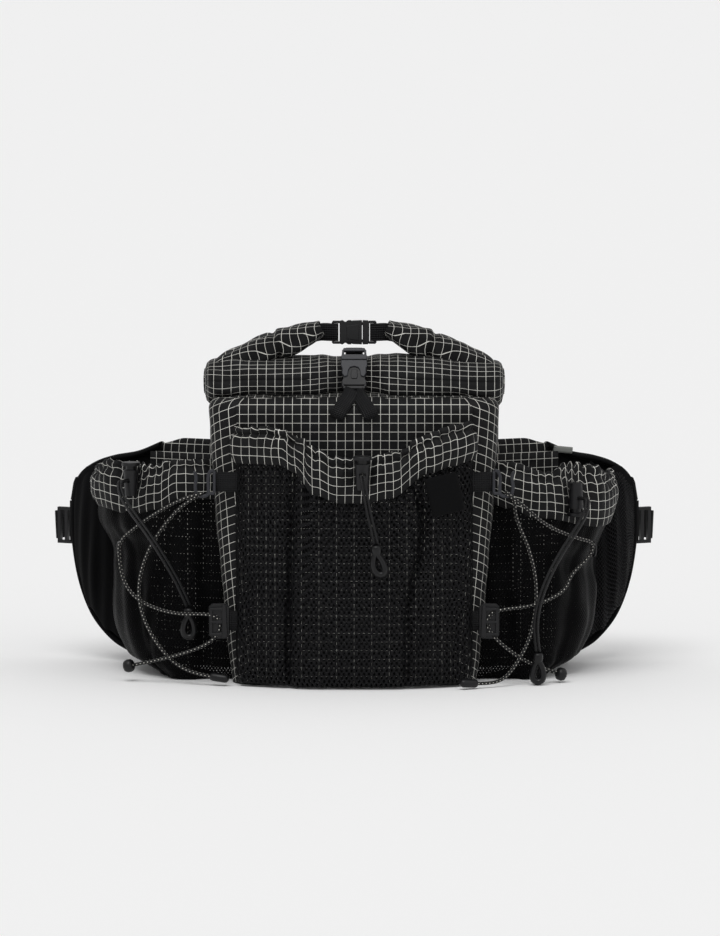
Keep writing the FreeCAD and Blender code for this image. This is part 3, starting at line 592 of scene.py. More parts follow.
def wobble(x, y, z, size, seed=0.0):
    """Smooth noise from -1 to 1 whose lumps are about size mm across."""
    return noise.noise(Vector((x / size + seed, y / size, z / size)))


print("a bump one width away is", round(bell(1, 0, 1), 2), "high")


# %% [markdown]
# Seams, straps and hems follow smooth lines. Each is a Catmull-Rom spline, which passes through all
# its points, and it is walked by true length so that threads along it keep an even spacing.

# %% Smooth lines by arc length
def curve_through(points):
    """A function of t from 0 to 1 that passes smoothly through the points, by arc length."""
    pts = [Vector(p) for p in points]
    ends = [pts[0] * 2 - pts[1]] + pts + [pts[-1] * 2 - pts[-2]]
    dense = []
    steps = 24
    for i in range(1, len(ends) - 2):
        a, b, c, d = ends[i - 1:i + 3]
        for k in range(steps):
            t = k / steps
            dense.append(0.5 * ((2 * b) + (c - a) * t + (2 * a - 5 * b + 4 * c - d) * t * t
                                + (3 * b - a - 3 * c + d) * t ** 3))
    dense.append(pts[-1])
    along = [0.0]
    for a, b in zip(dense, dense[1:]):
        along.append(along[-1] + (b - a).length)
    total = along[-1]
    known = {}

    def at(t):
        if t in known:
            return known[t]
        want = min(max(t, 0.0), 1.0) * total
        low, high = 0, len(along) - 1
        while high - low > 1:
            mid = (low + high) // 2
            if along[mid] <= want:
                low = mid
            else:
                high = mid
        span = along[high] - along[low]
        share = (want - along[low]) / span if span else 0.0
        known[t] = dense[low].lerp(dense[high], share)
        return known[t]

    at.length = total
    return at


print("a line from 0, 0 to 3, 4 is", round(curve_through([(0, 0, 0), (3, 4, 0)]).length, 1), "mm long")


# %% [markdown]
# A strap is a thin tape with rounded selvedges, swept along a line. A curve object with a bevel
# would do it too, but its surface has no coordinates in millimetres, which the ribs need.

# %% Straps
def strap_of(name, line, width, thick, side):
    """A flat tape along a line: side(t) is the unit vector across its width."""
    rows = max(8, int(line.length / 3))
    w, h, crown = width / 2, thick / 2, thick / 2 + 0.08
    half = [(-w + 0.5, -h), (-w / 3, -crown), (w / 3, -crown), (w - 0.5, -h), (w, 0)]
    profile = half + [(-a, -b) for a, b in half]
    count = len(profile)
    points, faces, flats = [], [], []
    for j in range(rows + 1):
        t = j / rows
        p = line(t)
        ahead = (line(min(1, t + 0.01)) - line(max(0, t - 0.01))).normalized()
        across = Vector(side(t))
        across = (across - ahead * across.dot(ahead)).normalized()
        normal = ahead.cross(across)
        for a, b in profile:
            points.append(tuple(p + across * a + normal * b))
    for j in range(rows):
        for i in range(count):
            k = (i + 1) % count
            faces.append((j * count + i, j * count + k, (j + 1) * count + k, (j + 1) * count + i))
            v0, v1 = j / rows * line.length, (j + 1) / rows * line.length
            a, b = profile[i][0], profile[k][0]
            flats.append([(a, v0), (b, v0), (b, v1), (a, v1)])
    for end, order in ((0, range(count - 1, -1, -1)), (rows, range(count))):
        faces.append(tuple(end * count + i for i in order))
        flats.append([(profile[i][0], 0.0) for i in order])
    return mesh_object(name, points, faces, flats)


print("strap helper ready")


# %% [markdown]
# ## Main compartment
# The compartment is a tall box with soft vertical corners that widens upward. Front, sides, back
# and base are separate panels sewn together, so the threads of each panel run their own way: on
# the sides they drop toward the back. The sizes are read from the frame's own panels.

# %% Sizes taken from the frame
front_low, front_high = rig.box("front_panel")
body_top = front_high.z / MM
cloth_top = body_top + 7.5
half_top = front_high.x / MM
half_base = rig.box("base_panel")[1].x / MM
half_depth = -front_low.y / MM
corner = 22.0
foot_z = 1.0              # the panels start this far above the ground
print("compartment", round(half_base * 2), "to", round(half_top * 2), "wide,", round(body_top), "tall")


# %% [markdown]
# Seen from above, the compartment is a rectangle with round corners. One function walks round that
# outline, so each panel only has to say from which seam to which it runs.

# %% The outline that the panels follow
def half_width(z):
    return half_base + (half_top - half_base) * z / body_top


def ring_point(s, z, grow=0.0):
    """A point on the compartment at height z. s runs 0 to 1 from the middle of the front, round by
    the right side, to the middle of the back; negative s goes round by the left."""
    side = 1 if s >= 0 else -1
    s = abs(s)
    w = half_width(z) + grow
    d = half_depth + grow
    r = corner + grow
    arc = math.pi / 2 * r
    runs = (w - r, arc, 2 * (d - r), arc, w - r)
    go = s * sum(runs)
    if go < runs[0]:
        x, y = go, -d
    elif go < runs[0] + arc:
        a = (go - runs[0]) / r
        x, y = w - r + r * math.sin(a), -d + r - r * math.cos(a)
    elif go < runs[0] + arc + runs[2]:
        x, y = w, -d + r + (go - runs[0] - arc)
    elif go < sum(runs[:4]):
        a = (go - sum(runs[:3])) / r
        x, y = w - r + r * math.cos(a), d - r + r * math.sin(a)
    else:
        x, y = w - r - (go - sum(runs[:4])), d
    return side * x, y, z


def seams(z):
    """The shares of the half ring at which the front and the back seam lie, and its length."""
    flat = half_width(z) - corner
    total = 2 * flat + math.pi * corner + 2 * (half_depth - corner)
    return flat / total, (total - flat) / total, total


print("seams at", [round(share, 2) for share in seams(0)[:2]], "of the half round the foot")


# %% [markdown]
# The front and the sides swell a little, as filled cloth does, and fold inward at the top seam. A
# cloth simulation could fill them as well, but then the seams would drift away from the frame.

# %% Front and side panels
def shoulder(z):
    """How far the cloth turns inward near the top seam."""
    return 13.0 * max(0.0, (z - body_top + 3) / 10.5) ** 2.2


def front_cloth_place(u, v):
    z = foot_z + v * (cloth_top - foot_z)
    x, y, z = ring_point((u * 2 - 1) * seams(z)[0], z)
    fold = shoulder(z) + 2.0 * bell(z, body_top + 2.0, 1.6)
    full = 4.5 * math.sin(math.pi * u) * math.sin(math.pi * min(1, v * 1.05)) ** 0.7
    ripple = 1.0 * wobble(x, 0, z, 34, 3.0) + 0.5 * wobble(x, 5, z, 13, 7.0)
    return x, y - full + fold - ripple * 0.8 * math.sin(math.pi * u), z


def front_cloth_flat(u, v):
    z = foot_z + v * (cloth_top - foot_z)
    return (u * 2 - 1) * (half_width(z) - corner), z


def side_cloth(side):
    def place(u, v):
        z = foot_z + v * (cloth_top - foot_z)
        first, last = seams(z)[:2]
        s = first + (last - first) * u
        grow = -0.5 * shoulder(z) + 3.0 * math.sin(math.pi * u) * math.sin(math.pi * v) ** 0.6
        grow += 1.3 * wobble(u * 100, side * 40, z, 26, 1.0) * math.sin(math.pi * u)
        grow -= 2.0 * bell(u, 0.02, 0.05)
        x, y, z = ring_point(s, z, grow)
        return side * x, y, z

    def flat(u, v):
        z = foot_z + v * (cloth_top - foot_z)
        first, last, total = seams(z)
        across = (last - first) * u * total
        return across, z + across * 0.42

    obj = thicken(sheet_of("side_cloth_" + WORD[side], 60, 90, place, flat), 1.0)
    finish_piece(obj, "pack", ripstop, ["side_panel_" + WORD[side]], "ripstop")


front_cloth = thicken(sheet_of("front_cloth", 110, 120, front_cloth_place, front_cloth_flat), 1.0)
finish_piece(front_cloth, "pack", ripstop, ["front_panel"], "ripstop")
side_cloth(1)
side_cloth(-1)
print("panels", front_cloth.name, "and two sides")


# %% [markdown]
# The back and the base lie flat, since one is against the wearer's back and the other on the ground.

# %% Back and base panels
def back_cloth_place(u, v):
    z = foot_z + v * (cloth_top - foot_z)
    share = seams(z)[1]
    s = share + (1 - share) * (1 - abs(u * 2 - 1))
    side = 1 if u > 0.5 else -1
    x, y, z = ring_point(min(s, 0.99999), z)
    return side * x, y - shoulder(z), z


def back_cloth_flat(u, v):
    return (u * 2 - 1) * half_top, v * body_top


back_cloth = thicken(sheet_of("back_cloth", 60, 60, back_cloth_place, back_cloth_flat), 1.0)
finish_piece(back_cloth, "pack", ripstop, ["back_panel"], "ripstop")


def base_place(u, v):
    x, y = ring_point(u * 2 - 1 if u < 1 else 0.99999, 0.9)[:2]
    return x * v, y * v, 0.7


base_cloth = sheet_of("base_cloth", 120, 24, base_place, lambda u, v: base_place(u, v)[:2])
thicken(base_cloth, 1.2)
finish_piece(base_cloth, "pack", black_cloth, ["base_panel"], "ripstop")
print("panels", back_cloth.name, base_cloth.name)


# %% [markdown]
# ## Rolled collar
# The mouth of the compartment is flattened and rolled down on itself. What shows is a plump band
# with soft lumps between the places where the strap and the ends pull it in. The collar rises to
# it from the top seam as a short slope at the front and at the back.

# %% The roll
roll_middle_z = 260.5
roll_half_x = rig.box("roll_top")[1].x / MM + 6
ROLL_DEPTH = 40.0         # half of the loaf's depth, away from the strap
ROLL_WAIST = 24.0         # half of its depth under the strap
ROLL_RISE = 17.3          # half of its height


def roll_round(u):
    """1 along the roll, falling to 0 where its ends round off."""
    return math.sqrt(max(0.0, 1 - (1 - min(1, (1 - abs(u * 2 - 1)) / 0.075)) ** 2.4))


def roll_flat(u, v):
    along = (u * 2 - 1) * roll_half_x
    return along + math.copysign(13 * (1 - roll_round(u)), along), v * 170.0 + 2 * math.sin(u * 9)


def roll_place(u, v):
    """The rolled mouth as a plump loaf, pulled in under the strap and drooping at its ends."""
    x = (u * 2 - 1) * roll_half_x
    edge = roll_round(u)
    angle = 2 * math.pi * v
    c, s = math.cos(angle), math.sin(angle)
    strap = bell(x, 0, 24)
    ry = ROLL_DEPTH - (ROLL_DEPTH - ROLL_WAIST) * strap - 8 * ease((abs(x) - 80) / 50)
    rz = ROLL_RISE + 1.2 * math.sin(x / 31 + 0.9) * (1 - strap) - 1.6 * strap
    if s < 0:
        ry *= 1 + 0.22 * abs(s)
        rz += 7.0 * ease((x - 84) / 34) + 4.0 * ease((-x - 96) / 26)
    fold = 1.6 * wobble(x * 0.5, 22 * c, 22 * s, 13, 2.0) + 2.0 * wobble(x, 24 * c, 24 * s, 27, 9.0)
    fold += 2.0 * math.sin((x + 128) * 0.16 + 4.5 * s) * ease((-x - 78) / 30)
    fold += 1.1 * math.sin(x * 0.28 + 3 * s) * bell(abs(x), 24, 13)
    fold -= 1.5 * bell(s, 0.30 + 0.25 * wobble(x, 0, 0, 60, 3.3), 0.12) * ease((abs(x) - 30) / 30)
    fold -= 2.2 * bell(s, 0.62, 0.10) * ease((-x - 62) / 14)
    y = -(ry * (0.45 + 0.55 * edge) + fold) * math.copysign(abs(c) ** 0.72, c)
    z = roll_middle_z + (rz * (0.5 + 0.5 * edge) + fold * 0.6) * math.copysign(abs(s) ** 0.8, s)
    z -= 2.6 * ease((x - 60) / 60) + 2.0 * ease((-x - 80) / 40)
    return x, y, z


roll_cloth = thicken(sheet_of("roll_cloth", 150, 64, roll_place, roll_flat), 0.8)
finish_piece(roll_cloth, "pack", ripstop, ["roll_top"], "ripstop")
print(roll_cloth.name, "middle at", round(roll_middle_z), "mm")


# %% [markdown]
# Seen from the side, the end of the real roll is a tight coil of cloth folded into the sleeves. That
# coil is hidden, so a shallow cushion of the same cloth closes each end.

# %% Ends of the roll
def roll_cap(side):
    """Closes one end of the roll with a soft cushion of the same cloth."""
    end = max(side, 0)
    middle = sum((Vector(roll_place(end, k / 48)) for k in range(48)), Vector()) / 48

    def place(u, v):
        q = middle + (Vector(roll_place(end, u)) - middle) * (1.06 - 1.04 * v)
        return q.x + side * (0.4 + 0.8 * math.sin(math.pi / 2 * v)), q.y, q.z

    cap = sheet_of("roll_cap_" + WORD[side], 48, 8, place, lambda u, v: place(u, v)[1:], True)
    finish_piece(thicken(cap, 0.8), "pack", ripstop, (), "ripstop")
    print("made", cap.name)


roll_cap(-1)
roll_cap(1)


# %% [markdown]
# The collar is a short slope of cloth in front of the roll and another behind it. It only has to
# lead from the top seam to the roll, so each slope is one plain sheet with slight lumps.

# %% Collar slopes
def collar_place(sign):
    def place(u, v):
        x = (u * 2 - 1) * (half_top - 7 - 3 * v)
        corner_in = ease((abs(x) - (half_top - corner - 6)) / corner) * 14.0
        y = sign * ((half_depth - 11 - corner_in) * (1 - v) + 20.0 * v)
        z = cloth_top - 0.8 + 4.0 * v ** 0.7 + 0.6 * wobble(x, y, 0, 18, 4.0)
        return x, y, z
    return place


for name, sign in (("collar_front", -1), ("collar_back", 1)):
    piece = sheet_of(name, 90, 12, collar_place(sign), lambda u, v: ((u * 2 - 1) * half_top, v * 37.0))
    finish_piece(thicken(piece, 0.9), "pack", ripstop, ["collar"], "ripstop")
    print(name, "done")


# %% [markdown]
# ## Handle
# The ends of the roll fold up and in, and become two fabric sleeves. Webbing comes out of each
# and meets in a side-release buckle, which closes the roll and makes the carrying handle.

# %% Folded sleeves
handle_low, handle_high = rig.box("handle_webbing_right")
handle_z = (handle_low.z + handle_high.z) / 2 / MM
sleeve_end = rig.box("roll_end_right")[0].x / MM

# where the sleeve runs: x, z, half its height and half its depth
SLEEVE_RUN = [(113, 257, 10, 20), (110, 266, 12, 21), (96, 274.5, 11, 20), (72, 285, 11, 17),
              (52, 291.5, 10.5, 15), (39, 297, 8, 14), (28, 302, 5, 13)]


def sleeve(side):
    line = curve_through([(x, 0, z) for x, z, h, d in SLEEVE_RUN])
    size = curve_through([(x, h, d) for x, z, h, d in SLEEVE_RUN])

    def place(u, v):
        p = line(v)
        high, deep = size(v).y, size(v).z
        ahead = (line(min(1, v + 0.02)) - line(max(0, v - 0.02))).normalized()
        normal = Vector((-ahead.z, 0, ahead.x))
        angle = 2 * math.pi * u
        c, s = math.cos(angle), math.sin(angle)
        a = math.copysign(abs(c) ** 0.6, c) * deep
        b = math.copysign(abs(s) ** 0.5, s) * high
        crease = 1.3 * wobble(v * 60, a, b * 0.5, 15, 6.0 + side)
        crease += 0.7 * math.sin(v * 19 + a * 0.2 + b * 0.3)
        crease += 2.2 * ease((v - 0.60) / 0.03) - 2.4 * bell(v, 0.58, 0.025)
        crease += 1.0 * wobble(a, v * 50, 0, 8, 2.2)
        scale = 1 + crease / 15
        q = p + Vector((0, 1, 0)) * a * scale + normal * b * scale
        return side * q.x, q.y, q.z

    piece = thicken(sheet_of("sleeve_cloth_" + WORD[side], 72, 90, place,
                             lambda u, v: (u * 90.0 + v * 34.0, v * line.length - u * 22.0)), 0.9)
    if side < 0:
        return finish_piece(piece, "pack", ripstop, ["roll_end_left"], "ripstop")
    # the right sleeve crumples when its half of the handle buckle slides out
    return bend_piece(piece, ripstop, ["roll_end_right"], "ripstop", "top_male_half",
                      (0.1, 0, 0.275), (0.034, 0, 0.298))


sleeve(1)
sleeve(-1)
print("sleeves end at", round(sleeve_end), "mm")


# %% [markdown]
# ## Front pocket
# A bag of open mesh in three parts, with a fuller middle, hangs from a cuff of the grid cloth. A
# cord in the cuff's hem gathers it, so the top edge is a row of small ruffles that come closest
# together where the cloth has been pulled up most. One thread of the grid follows the lower edge.

# %% Lines of the front pocket
def between(points, x):
    """The height at x on a smooth line through the points, which run from left to right."""
    if x <= points[0][0]:
        return points[0][1]
    for (x0, y0), (x1, y1) in zip(points, points[1:]):
        if x <= x1:
            return y0 + (y1 - y0) * ease((x - x0) / (x1 - x0))
    return points[-1][1]


def normal_of(line, t):
    """The outward normal, in plan, of a line that runs from left to right round the front."""
    a, b = line(max(0, t - 0.004)), line(min(1, t + 0.004))
    return Vector((b.y - a.y, a.x - b.x, 0)).normalized()


# in plan, then the top and the foot of the cuff as heights along x
POCKET_PLAN = [(-101, -57), (-94, -67), (-57, -82), (-30, -85.6), (0, -86.6), (30, -86), (57, -83),
               (94, -69), (101, -57)]
CUFF_TOP = [(-101, 221), (-72, 223), (-50, 219), (-38, 207), (-14, 198), (12, 197), (34, 203),
            (62, 216), (80, 224), (101, 226)]
CUFF_FOOT = [(-101, 192), (-62, 192), (-50, 186), (-34, 167), (-12, 160), (10, 160), (30, 164),
             (62, 184), (80, 190), (101, 195)]
pocket_line = curve_through([(x, y, 0) for x, y in POCKET_PLAN])
print("front pocket", round(pocket_line.length), "mm round its front")


# %% [markdown]
# The mesh has a full middle part between two pleats, and is gathered where it meets the cuff. Its
# folds could come from a simulation, but bumps that are summed keep each pleat where it is wanted.

# %% Mesh bag of the front pocket
def pocket_push(x, z):
    """How far the mesh stands out of its plain outline: the full middle, pleats and wrinkles."""
    middle = ease((x + 62) / 16) * ease((56 - x) / 16)
    low = 1 - z / 190
    push = 4.0 * middle * math.sin(math.pi * min(1, max(0, z / 200)) ** 0.55) + 1.5 * middle * low
    push -= 6.5 * bell(x, -53 - 4 * low, 3.0) * ease((205 - z) / 60)
    push -= 6.0 * bell(x, 45 + 15 * bell(z, 135, 42), 3.2) * ease((195 - z) / 40)
    push += 2.5 * bell(x, 58 + 15 * bell(z, 135, 42), 7) * ease((z - 90) / 40)
    gather = math.exp(-max(0.0, between(CUFF_FOOT, x) - z) / 26)
    push += 1.5 * gather * math.sin(x * 0.52 + 2 * wobble(x, 0, 0, 30, 8.0))
    push += 1.8 * wobble(x, 0, z * 0.35, 16, 2.5) + 1.2 * wobble(x, 3, z, 38, 1.2)
    return push


def pocket_mesh_place(u, v):
    p = pocket_line(u)
    under = ease(v / 0.10)
    x = p.x
    top = between(CUFF_FOOT, x) + 4
    z = 1.2 + (top - 1.2) * max(0.0, (v - 0.07) / 0.93)
    rise = ease((v - 0.02) / 0.12)
    out = pocket_push(x, z) * rise * ease(u / 0.05) * ease((1 - u) / 0.05)
    q = p + normal_of(pocket_line, u) * out
    y = -57.0 + (q.y + 57.0) * (0.0 if v == 0 else min(1, 0.25 + under * 0.75))
    sag = 1.6 * (1 - rise) * ease((x + 60) / 10) * ease((50 - x) / 10)
    return q.x * (1 - 0.03 * (1 - rise)), y, max(0.9, z + 1.6 - sag)


net_cloth = thicken(sheet_of("pocket_net", 150, 110, pocket_mesh_place,
                             lambda u, v: (u * pocket_line.length * 1.04, v * 185)), 0.5)
finish_piece(net_cloth, "pack", pocket_net, ["pocket_mesh"], "mesh")
print("mesh bag", net_cloth.name)


# %% [markdown]
# The cuff is gathered by its cord, so its upper edge ruffles. One even wave would look pressed, so
# two rows of uneven waves cross. Behind the cord lock the cuff lies flat.

# %% Gathered cuff
def ruffle(t, waves, seed):
    """Uneven waves along a gathered edge, from -1 to 1."""
    phase = 2 * math.pi * waves * t + 2.6 * wobble(t * 100, seed, 0, 16, seed)
    return math.sin(phase) * (0.75 + 0.35 * wobble(t * 100, 0, seed, 9, seed))


def z_of_cuff(x, up):
    return between(CUFF_FOOT, x) + (between(CUFF_TOP, x) - between(CUFF_FOOT, x)) * up


def cuff_place(u, v):
    p = pocket_line(u)
    n = normal_of(pocket_line, u)
    low, high = between(CUFF_FOOT, p.x), between(CUFF_TOP, p.x)
    up = min(1.0, v / 0.84)
    hem = max(0.0, (v - 0.84) / 0.16)
    tight = 0.7 + 0.7 * bell(p.x, -50, 20) + 0.5 * bell(p.x, 52, 16)
    pinch = sum(deep * bell(p.x, x, wide) for deep, x, wide in
                ((1.3, -53, 5), (0.8, 38, 4), (0.6, -22, 4), (0.4, 78, 4)))
    wave = 0.55 * ruffle(u, 31, 3.1) + 0.9 * ruffle(u, 14, 5.6)
    out = 1.3 + 4.6 * math.sin(math.pi * min(1, up * 0.94 + 0.06)) ** 0.8
    out += 2.3 * tight * wave * up ** 1.2 - 5.0 * pinch * up
    out -= 3.4 * bell(up, 0.83, 0.07)
    out += 3.0 * wobble(p.x, 0, up * 24, 15, 6.6) * math.sin(math.pi * up)
    behind_lock = bell(p.x, 7, 10) * ease((z_of_cuff(p.x, up) - 170) / 8)
    out += (-3.0 - out) * behind_lock
    z = low + (high - low) * up - 3.0 * pinch * up
    z += 1.7 * tight * (0.6 * ruffle(u, 31, 6.4) + 0.8 * ruffle(u, 14, 2.4)) * up ** 2
    if hem:
        out -= 1.0 + 4.5 * ease(hem)
        z += 1.6 * math.sin(math.pi * hem) - 6.0 * hem ** 2
    q = p + n * out * ease(u / 0.02 + 0.2) * ease((1 - u) / 0.02 + 0.2)
    return q.x + 1.6 * tight * ruffle(u, 27, 9.7) * up ** 2, min(q.y, -56.9), z


def cuff_flat(u, v):
    x = pocket_line(u).x
    tall = between(CUFF_TOP, x) - between(CUFF_FOOT, x)
    shear = 5 * wobble(x, 0, 0, 50, 4.4)
    return u * pocket_line.length * 1.1 + shear * v, v / 0.84 * tall + 0.4


cuff = thicken(sheet_of("pocket_cuff", 300, 34, cuff_place, cuff_flat), 0.8)
finish_piece(cuff, "pack", ripstop, ["pocket_rim"], "ripstop")
print("made", cuff.name)


# %% [markdown]
# A small blank label is sewn to the mesh at a slant. It is a sheet laid over the pocket's outline,
# which takes a few steps to find: the share of the outline that lies at a given x.

# %% Blank label
def label_place(u, v):
    turn = math.radians(12)
    a, b = (u - 0.5) * 27, (v - 0.5) * 33
    x = 74 + a * math.cos(turn) - b * math.sin(turn)
    z = 167 + a * math.sin(turn) + b * math.cos(turn)
    share = (x + 101) / 202
    for _ in range(12):
        share += (x - pocket_line(share).x) / 230
    p = pocket_line(share) + normal_of(pocket_line, share) * (7.6 + 1.2 * math.sin(math.pi * v) - 0.8 * v)
    return p.x, p.y, z


label = thicken(sheet_of("blank_label", 12, 12, label_place, lambda u, v: (u * 29, v * 31)), 0.9)
finish_piece(label, "pack", black_cloth, ["label_and_tab"], "ripstop")
print("made", label.name)


# %% [markdown]
# ## Side pockets
# Each side pocket is a tall mesh bag for a bottle. It runs round from the front corner of the
# compartment to the wing, its outer lower corner is rounded off, and its cuff of grid cloth is
# bunched where the cord lock sits. The cloth of the wing shows through the mesh.

# %% Lines of the side pockets
SIDE_PLAN = [(103, -21), (128, -23), (143, -27), (160, -25), (177, -19.5), (195, -6), (207, 5),
             (216, 24), (219, 42), (219.5, 90)]
side_line = curve_through([(x, y, 0) for x, y in SIDE_PLAN])
CUFF_EDGES = {
    1: ([(100, 156), (162, 140), (209, 130), (221, 133)],
        [(100, 190), (135, 187), (167, 178), (185, 184), (206, 182), (216, 172), (221, 170)]),
    -1: ([(100, 156), (150, 157), (170, 147), (190, 141), (214, 146), (221, 150)],
         [(100, 190), (160, 189), (172, 184), (195, 184), (210, 187), (217, 180), (221, 172)]),
}
LOCK_AT = {1: 190.0, -1: 189.0}
WING_ROOT = (113.0, 46.0)
WING_TURN = math.radians(24.4)
print("side pockets", round(side_line.length), "mm round")


def wing_front(x):
    """How far back the wing's front face lies at x."""
    return WING_ROOT[1] + (x - WING_ROOT[0]) * math.tan(WING_TURN)


def foot_limit(x, z):
    """The pocket's outer lower corner is rounded off, so it is narrower near its foot."""
    reach = 207 + 14 * math.sin(math.pi / 2 * min(1, (z - 16) / 36))
    if z < 16:
        reach = 176 + 31 * ease(z / 17)
    if x < 150:
        return x
    return 150 + (x - 150) * min(1.0, (reach - 150) / 71)


# %% [markdown]
# The bag, a lining on the wing behind it, and the floor that closes it are three sheets. A bottle's
# weight isn't there, so the mesh hangs in soft upright folds and slants where the cord pulls it.

# %% Bags of the side pockets
def side_bag(side):
    def place(u, v):
        p = side_line(u)
        n = normal_of(side_line, u)
        top = between(CUFF_EDGES[side][0], p.x) + 4
        z = 1.4 + (top - 1.4) * v
        inner = ease(u / 0.06) * ease((1 - u) / 0.05)
        out = 2.5 * math.sin(math.pi * min(1, v * 1.1)) * inner
        out += 3.2 * wobble(u * 230, side * 20, z * 0.30, 21, 1.5 + side) * inner
        out += 1.7 * wobble(u * 230, side * 30, z, 30, 4.5) * inner
        out -= 3.5 * bell(p.x, 165 + (z - 90) * 0.30 * side, 5) * inner
        pull = 124 - 0.22 * (p.x - 150) * side
        out += 4.0 * (bell(z, pull, 10) - bell(z, pull - 20, 10)) * bell(p.x, 190, 30) * inner
        out -= 2.5 * bell(p.x, 200 + (z - 100) * 0.12, 5) * inner
        q = p + n * out
        q.x -= 12 * ease((p.x - 165) / 45) * ease((132 - z) / 30)
        x = foot_limit(q.x, z)
        return side * x, min(q.y + 3 * (1 - ease(v / 0.05)) * inner, wing_front(x) + 3), z

    def floor_place(u, v):
        x, y = place(u, 0.0)[:2]
        return side * 135 + (x - side * 135) * v, 40 + (y - 40) * v, 1.3

    def lining_place(u, v):
        x = 104 + 74 * u
        return side * x, wing_front(x) - 2.0 - 3 * bell(u, 0.5, 0.4), 2 + 186 * v

    for name, across, up, where, size, thick, material, nodes, slot in (
            ("side_net_", 120, 90, place, (side_line.length, 150), 0.5, side_net,
             ["side_pocket_" + WORD[side]], "mesh"),
            ("side_lining_", 30, 30, lining_place, (81, 186), 0.6, ripstop, (), "ripstop"),
            ("side_floor_", 60, 6, floor_place, (200, 60), 0.6, black_cloth, (), "mesh")):
        cloth = sheet_of(name + WORD[side], across, up, where, lambda u, v: (u * size[0], v * size[1]))
        finish_piece(thicken(cloth, thick), "pack", material, nodes, slot)
        print("made", cloth.name)


side_bag(1)
side_bag(-1)


# %% [markdown]
# The side cuffs bunch up at their cord locks, where the cord has pulled them together. They are made
# like the front cuff, with waves that grow toward the lock.

# %% Cuffs of the side pockets
def side_cuff(side):
    def cuff_place(u, v):
        p = side_line(u)
        n = normal_of(side_line, u)
        low, high = between(CUFF_EDGES[side][0], p.x), between(CUFF_EDGES[side][1], p.x)
        up = min(1.0, v / 0.82)
        hem = max(0.0, (v - 0.82) / 0.18)
        bunch = bell(p.x, LOCK_AT[side], 13) + 0.4 * bell(p.x, 166, 9)
        tight = 0.35 + 1.3 * bunch
        out = 1.2 + 4.2 * math.sin(math.pi * up) ** 0.8 * (1 - 0.4 * bunch)
        out += 2.4 * tight * (0.6 * ruffle(u, 25, 1.7 * side) + 0.7 * ruffle(u, 11, 2.9 * side)) * up ** 1.2
        out -= 2.5 * bell(up, 0.84, 0.08) + 3.0 * bunch * up
        out += 2.8 * wobble(u * 220, side * 9, v * 30, 19, 7.1) + 4.0 * ease((p.x - 188) / 24)
        out += (-2.5 - out) * bell(p.x, LOCK_AT[side], 9) * ease((up - 0.35) / 0.3)
        z = low + (high - low) * up + 2.0 * tight * ruffle(u, 25, 4.3 * side) * up ** 2
        if hem:
            out -= 1.0 + 5.0 * ease(hem)
            z += 1.8 * math.sin(math.pi * hem) - 7.0 * hem ** 2
        q = p + n * out * ease(u / 0.04 + 0.1)
        return side * q.x, q.y, z

    def cuff_flat(u, v):
        x = side_line(u).x
        tall = between(CUFF_EDGES[side][1], x) - between(CUFF_EDGES[side][0], x)
        return u * side_line.length * 1.08 + 6 * v * wobble(x, 0, 0, 40, side), v / 0.82 * tall + 0.5

    cuff = thicken(sheet_of("side_cuff_" + WORD[side], 260, 34, cuff_place, cuff_flat), 0.8)
    finish_piece(cuff, "pack", ripstop, ["side_rim_" + WORD[side]], "ripstop")
    print("made", cuff.name)


side_cuff(1)
side_cuff(-1)


# %% [markdown]
# ## Hip wings
# The wings are foam under cloth: the grid cloth near the compartment, soft black cloth further out,
# and a bound edge. The right one carries a mesh panel with a dark band at its rim.

# %% Outline of the wings
WING_FOOT = [(0, 8), (40, 3), (70, 4), (95, 12), (112, 22), (130, 42), (142, 72), (148, 108)]
WING_HEAD = [(0, 200), (40, 200), (62, 195), (84, 186), (108, 181), (128, 174), (142, 162), (148, 140)]


def on_wing(side, u, depth, z):
    """A point u along the wing and depth behind its front face."""
    x = WING_ROOT[0] + u * math.cos(WING_TURN) - depth * math.sin(WING_TURN)
    y = WING_ROOT[1] + u * math.sin(WING_TURN) + depth * math.cos(WING_TURN)
    return side * x, y, z


def wing_reach(t):
    """From the root to the rounded tip, closer together near the tip."""
    return -2 + 150 * math.sin(math.pi / 2 * t)


print("wings", round(wing_reach(1.0)), "mm long")


# %% [markdown]
# Padding pushes its cover out until the cloth is tight. A short cloth simulation does that here: air
# pressure inside, no gravity, stitched edges held, and no point may move far from where it began.
# Pressure needs a closed skin, so the open ends of a tube are capped first.

# %% Closing a padded piece
def close_ends(obj):
    """Caps the open rings of a tube-like mesh so that it holds its filling."""
    mesh = bmesh.new()
    mesh.from_mesh(obj.data)
    bmesh.ops.holes_fill(mesh, edges=[e for e in mesh.edges if e.is_boundary], sides=0)
    bmesh.ops.recalc_face_normals(mesh, faces=mesh.faces)
    mesh.to_mesh(obj.data)
    mesh.free()


print("padding helper ready")


# %% [markdown]
# The simulation runs for twenty frames and is then applied, so only its last shape stays. The
# pattern is laid on afterwards, because an even grid of voxels has no cloth coordinates.

# %% Letting padding fill its cover
FILL_FRAMES = 20
FILL_PRESSURE = 4.0
FILL_REACH = 3.0          # mm that a point may move at most


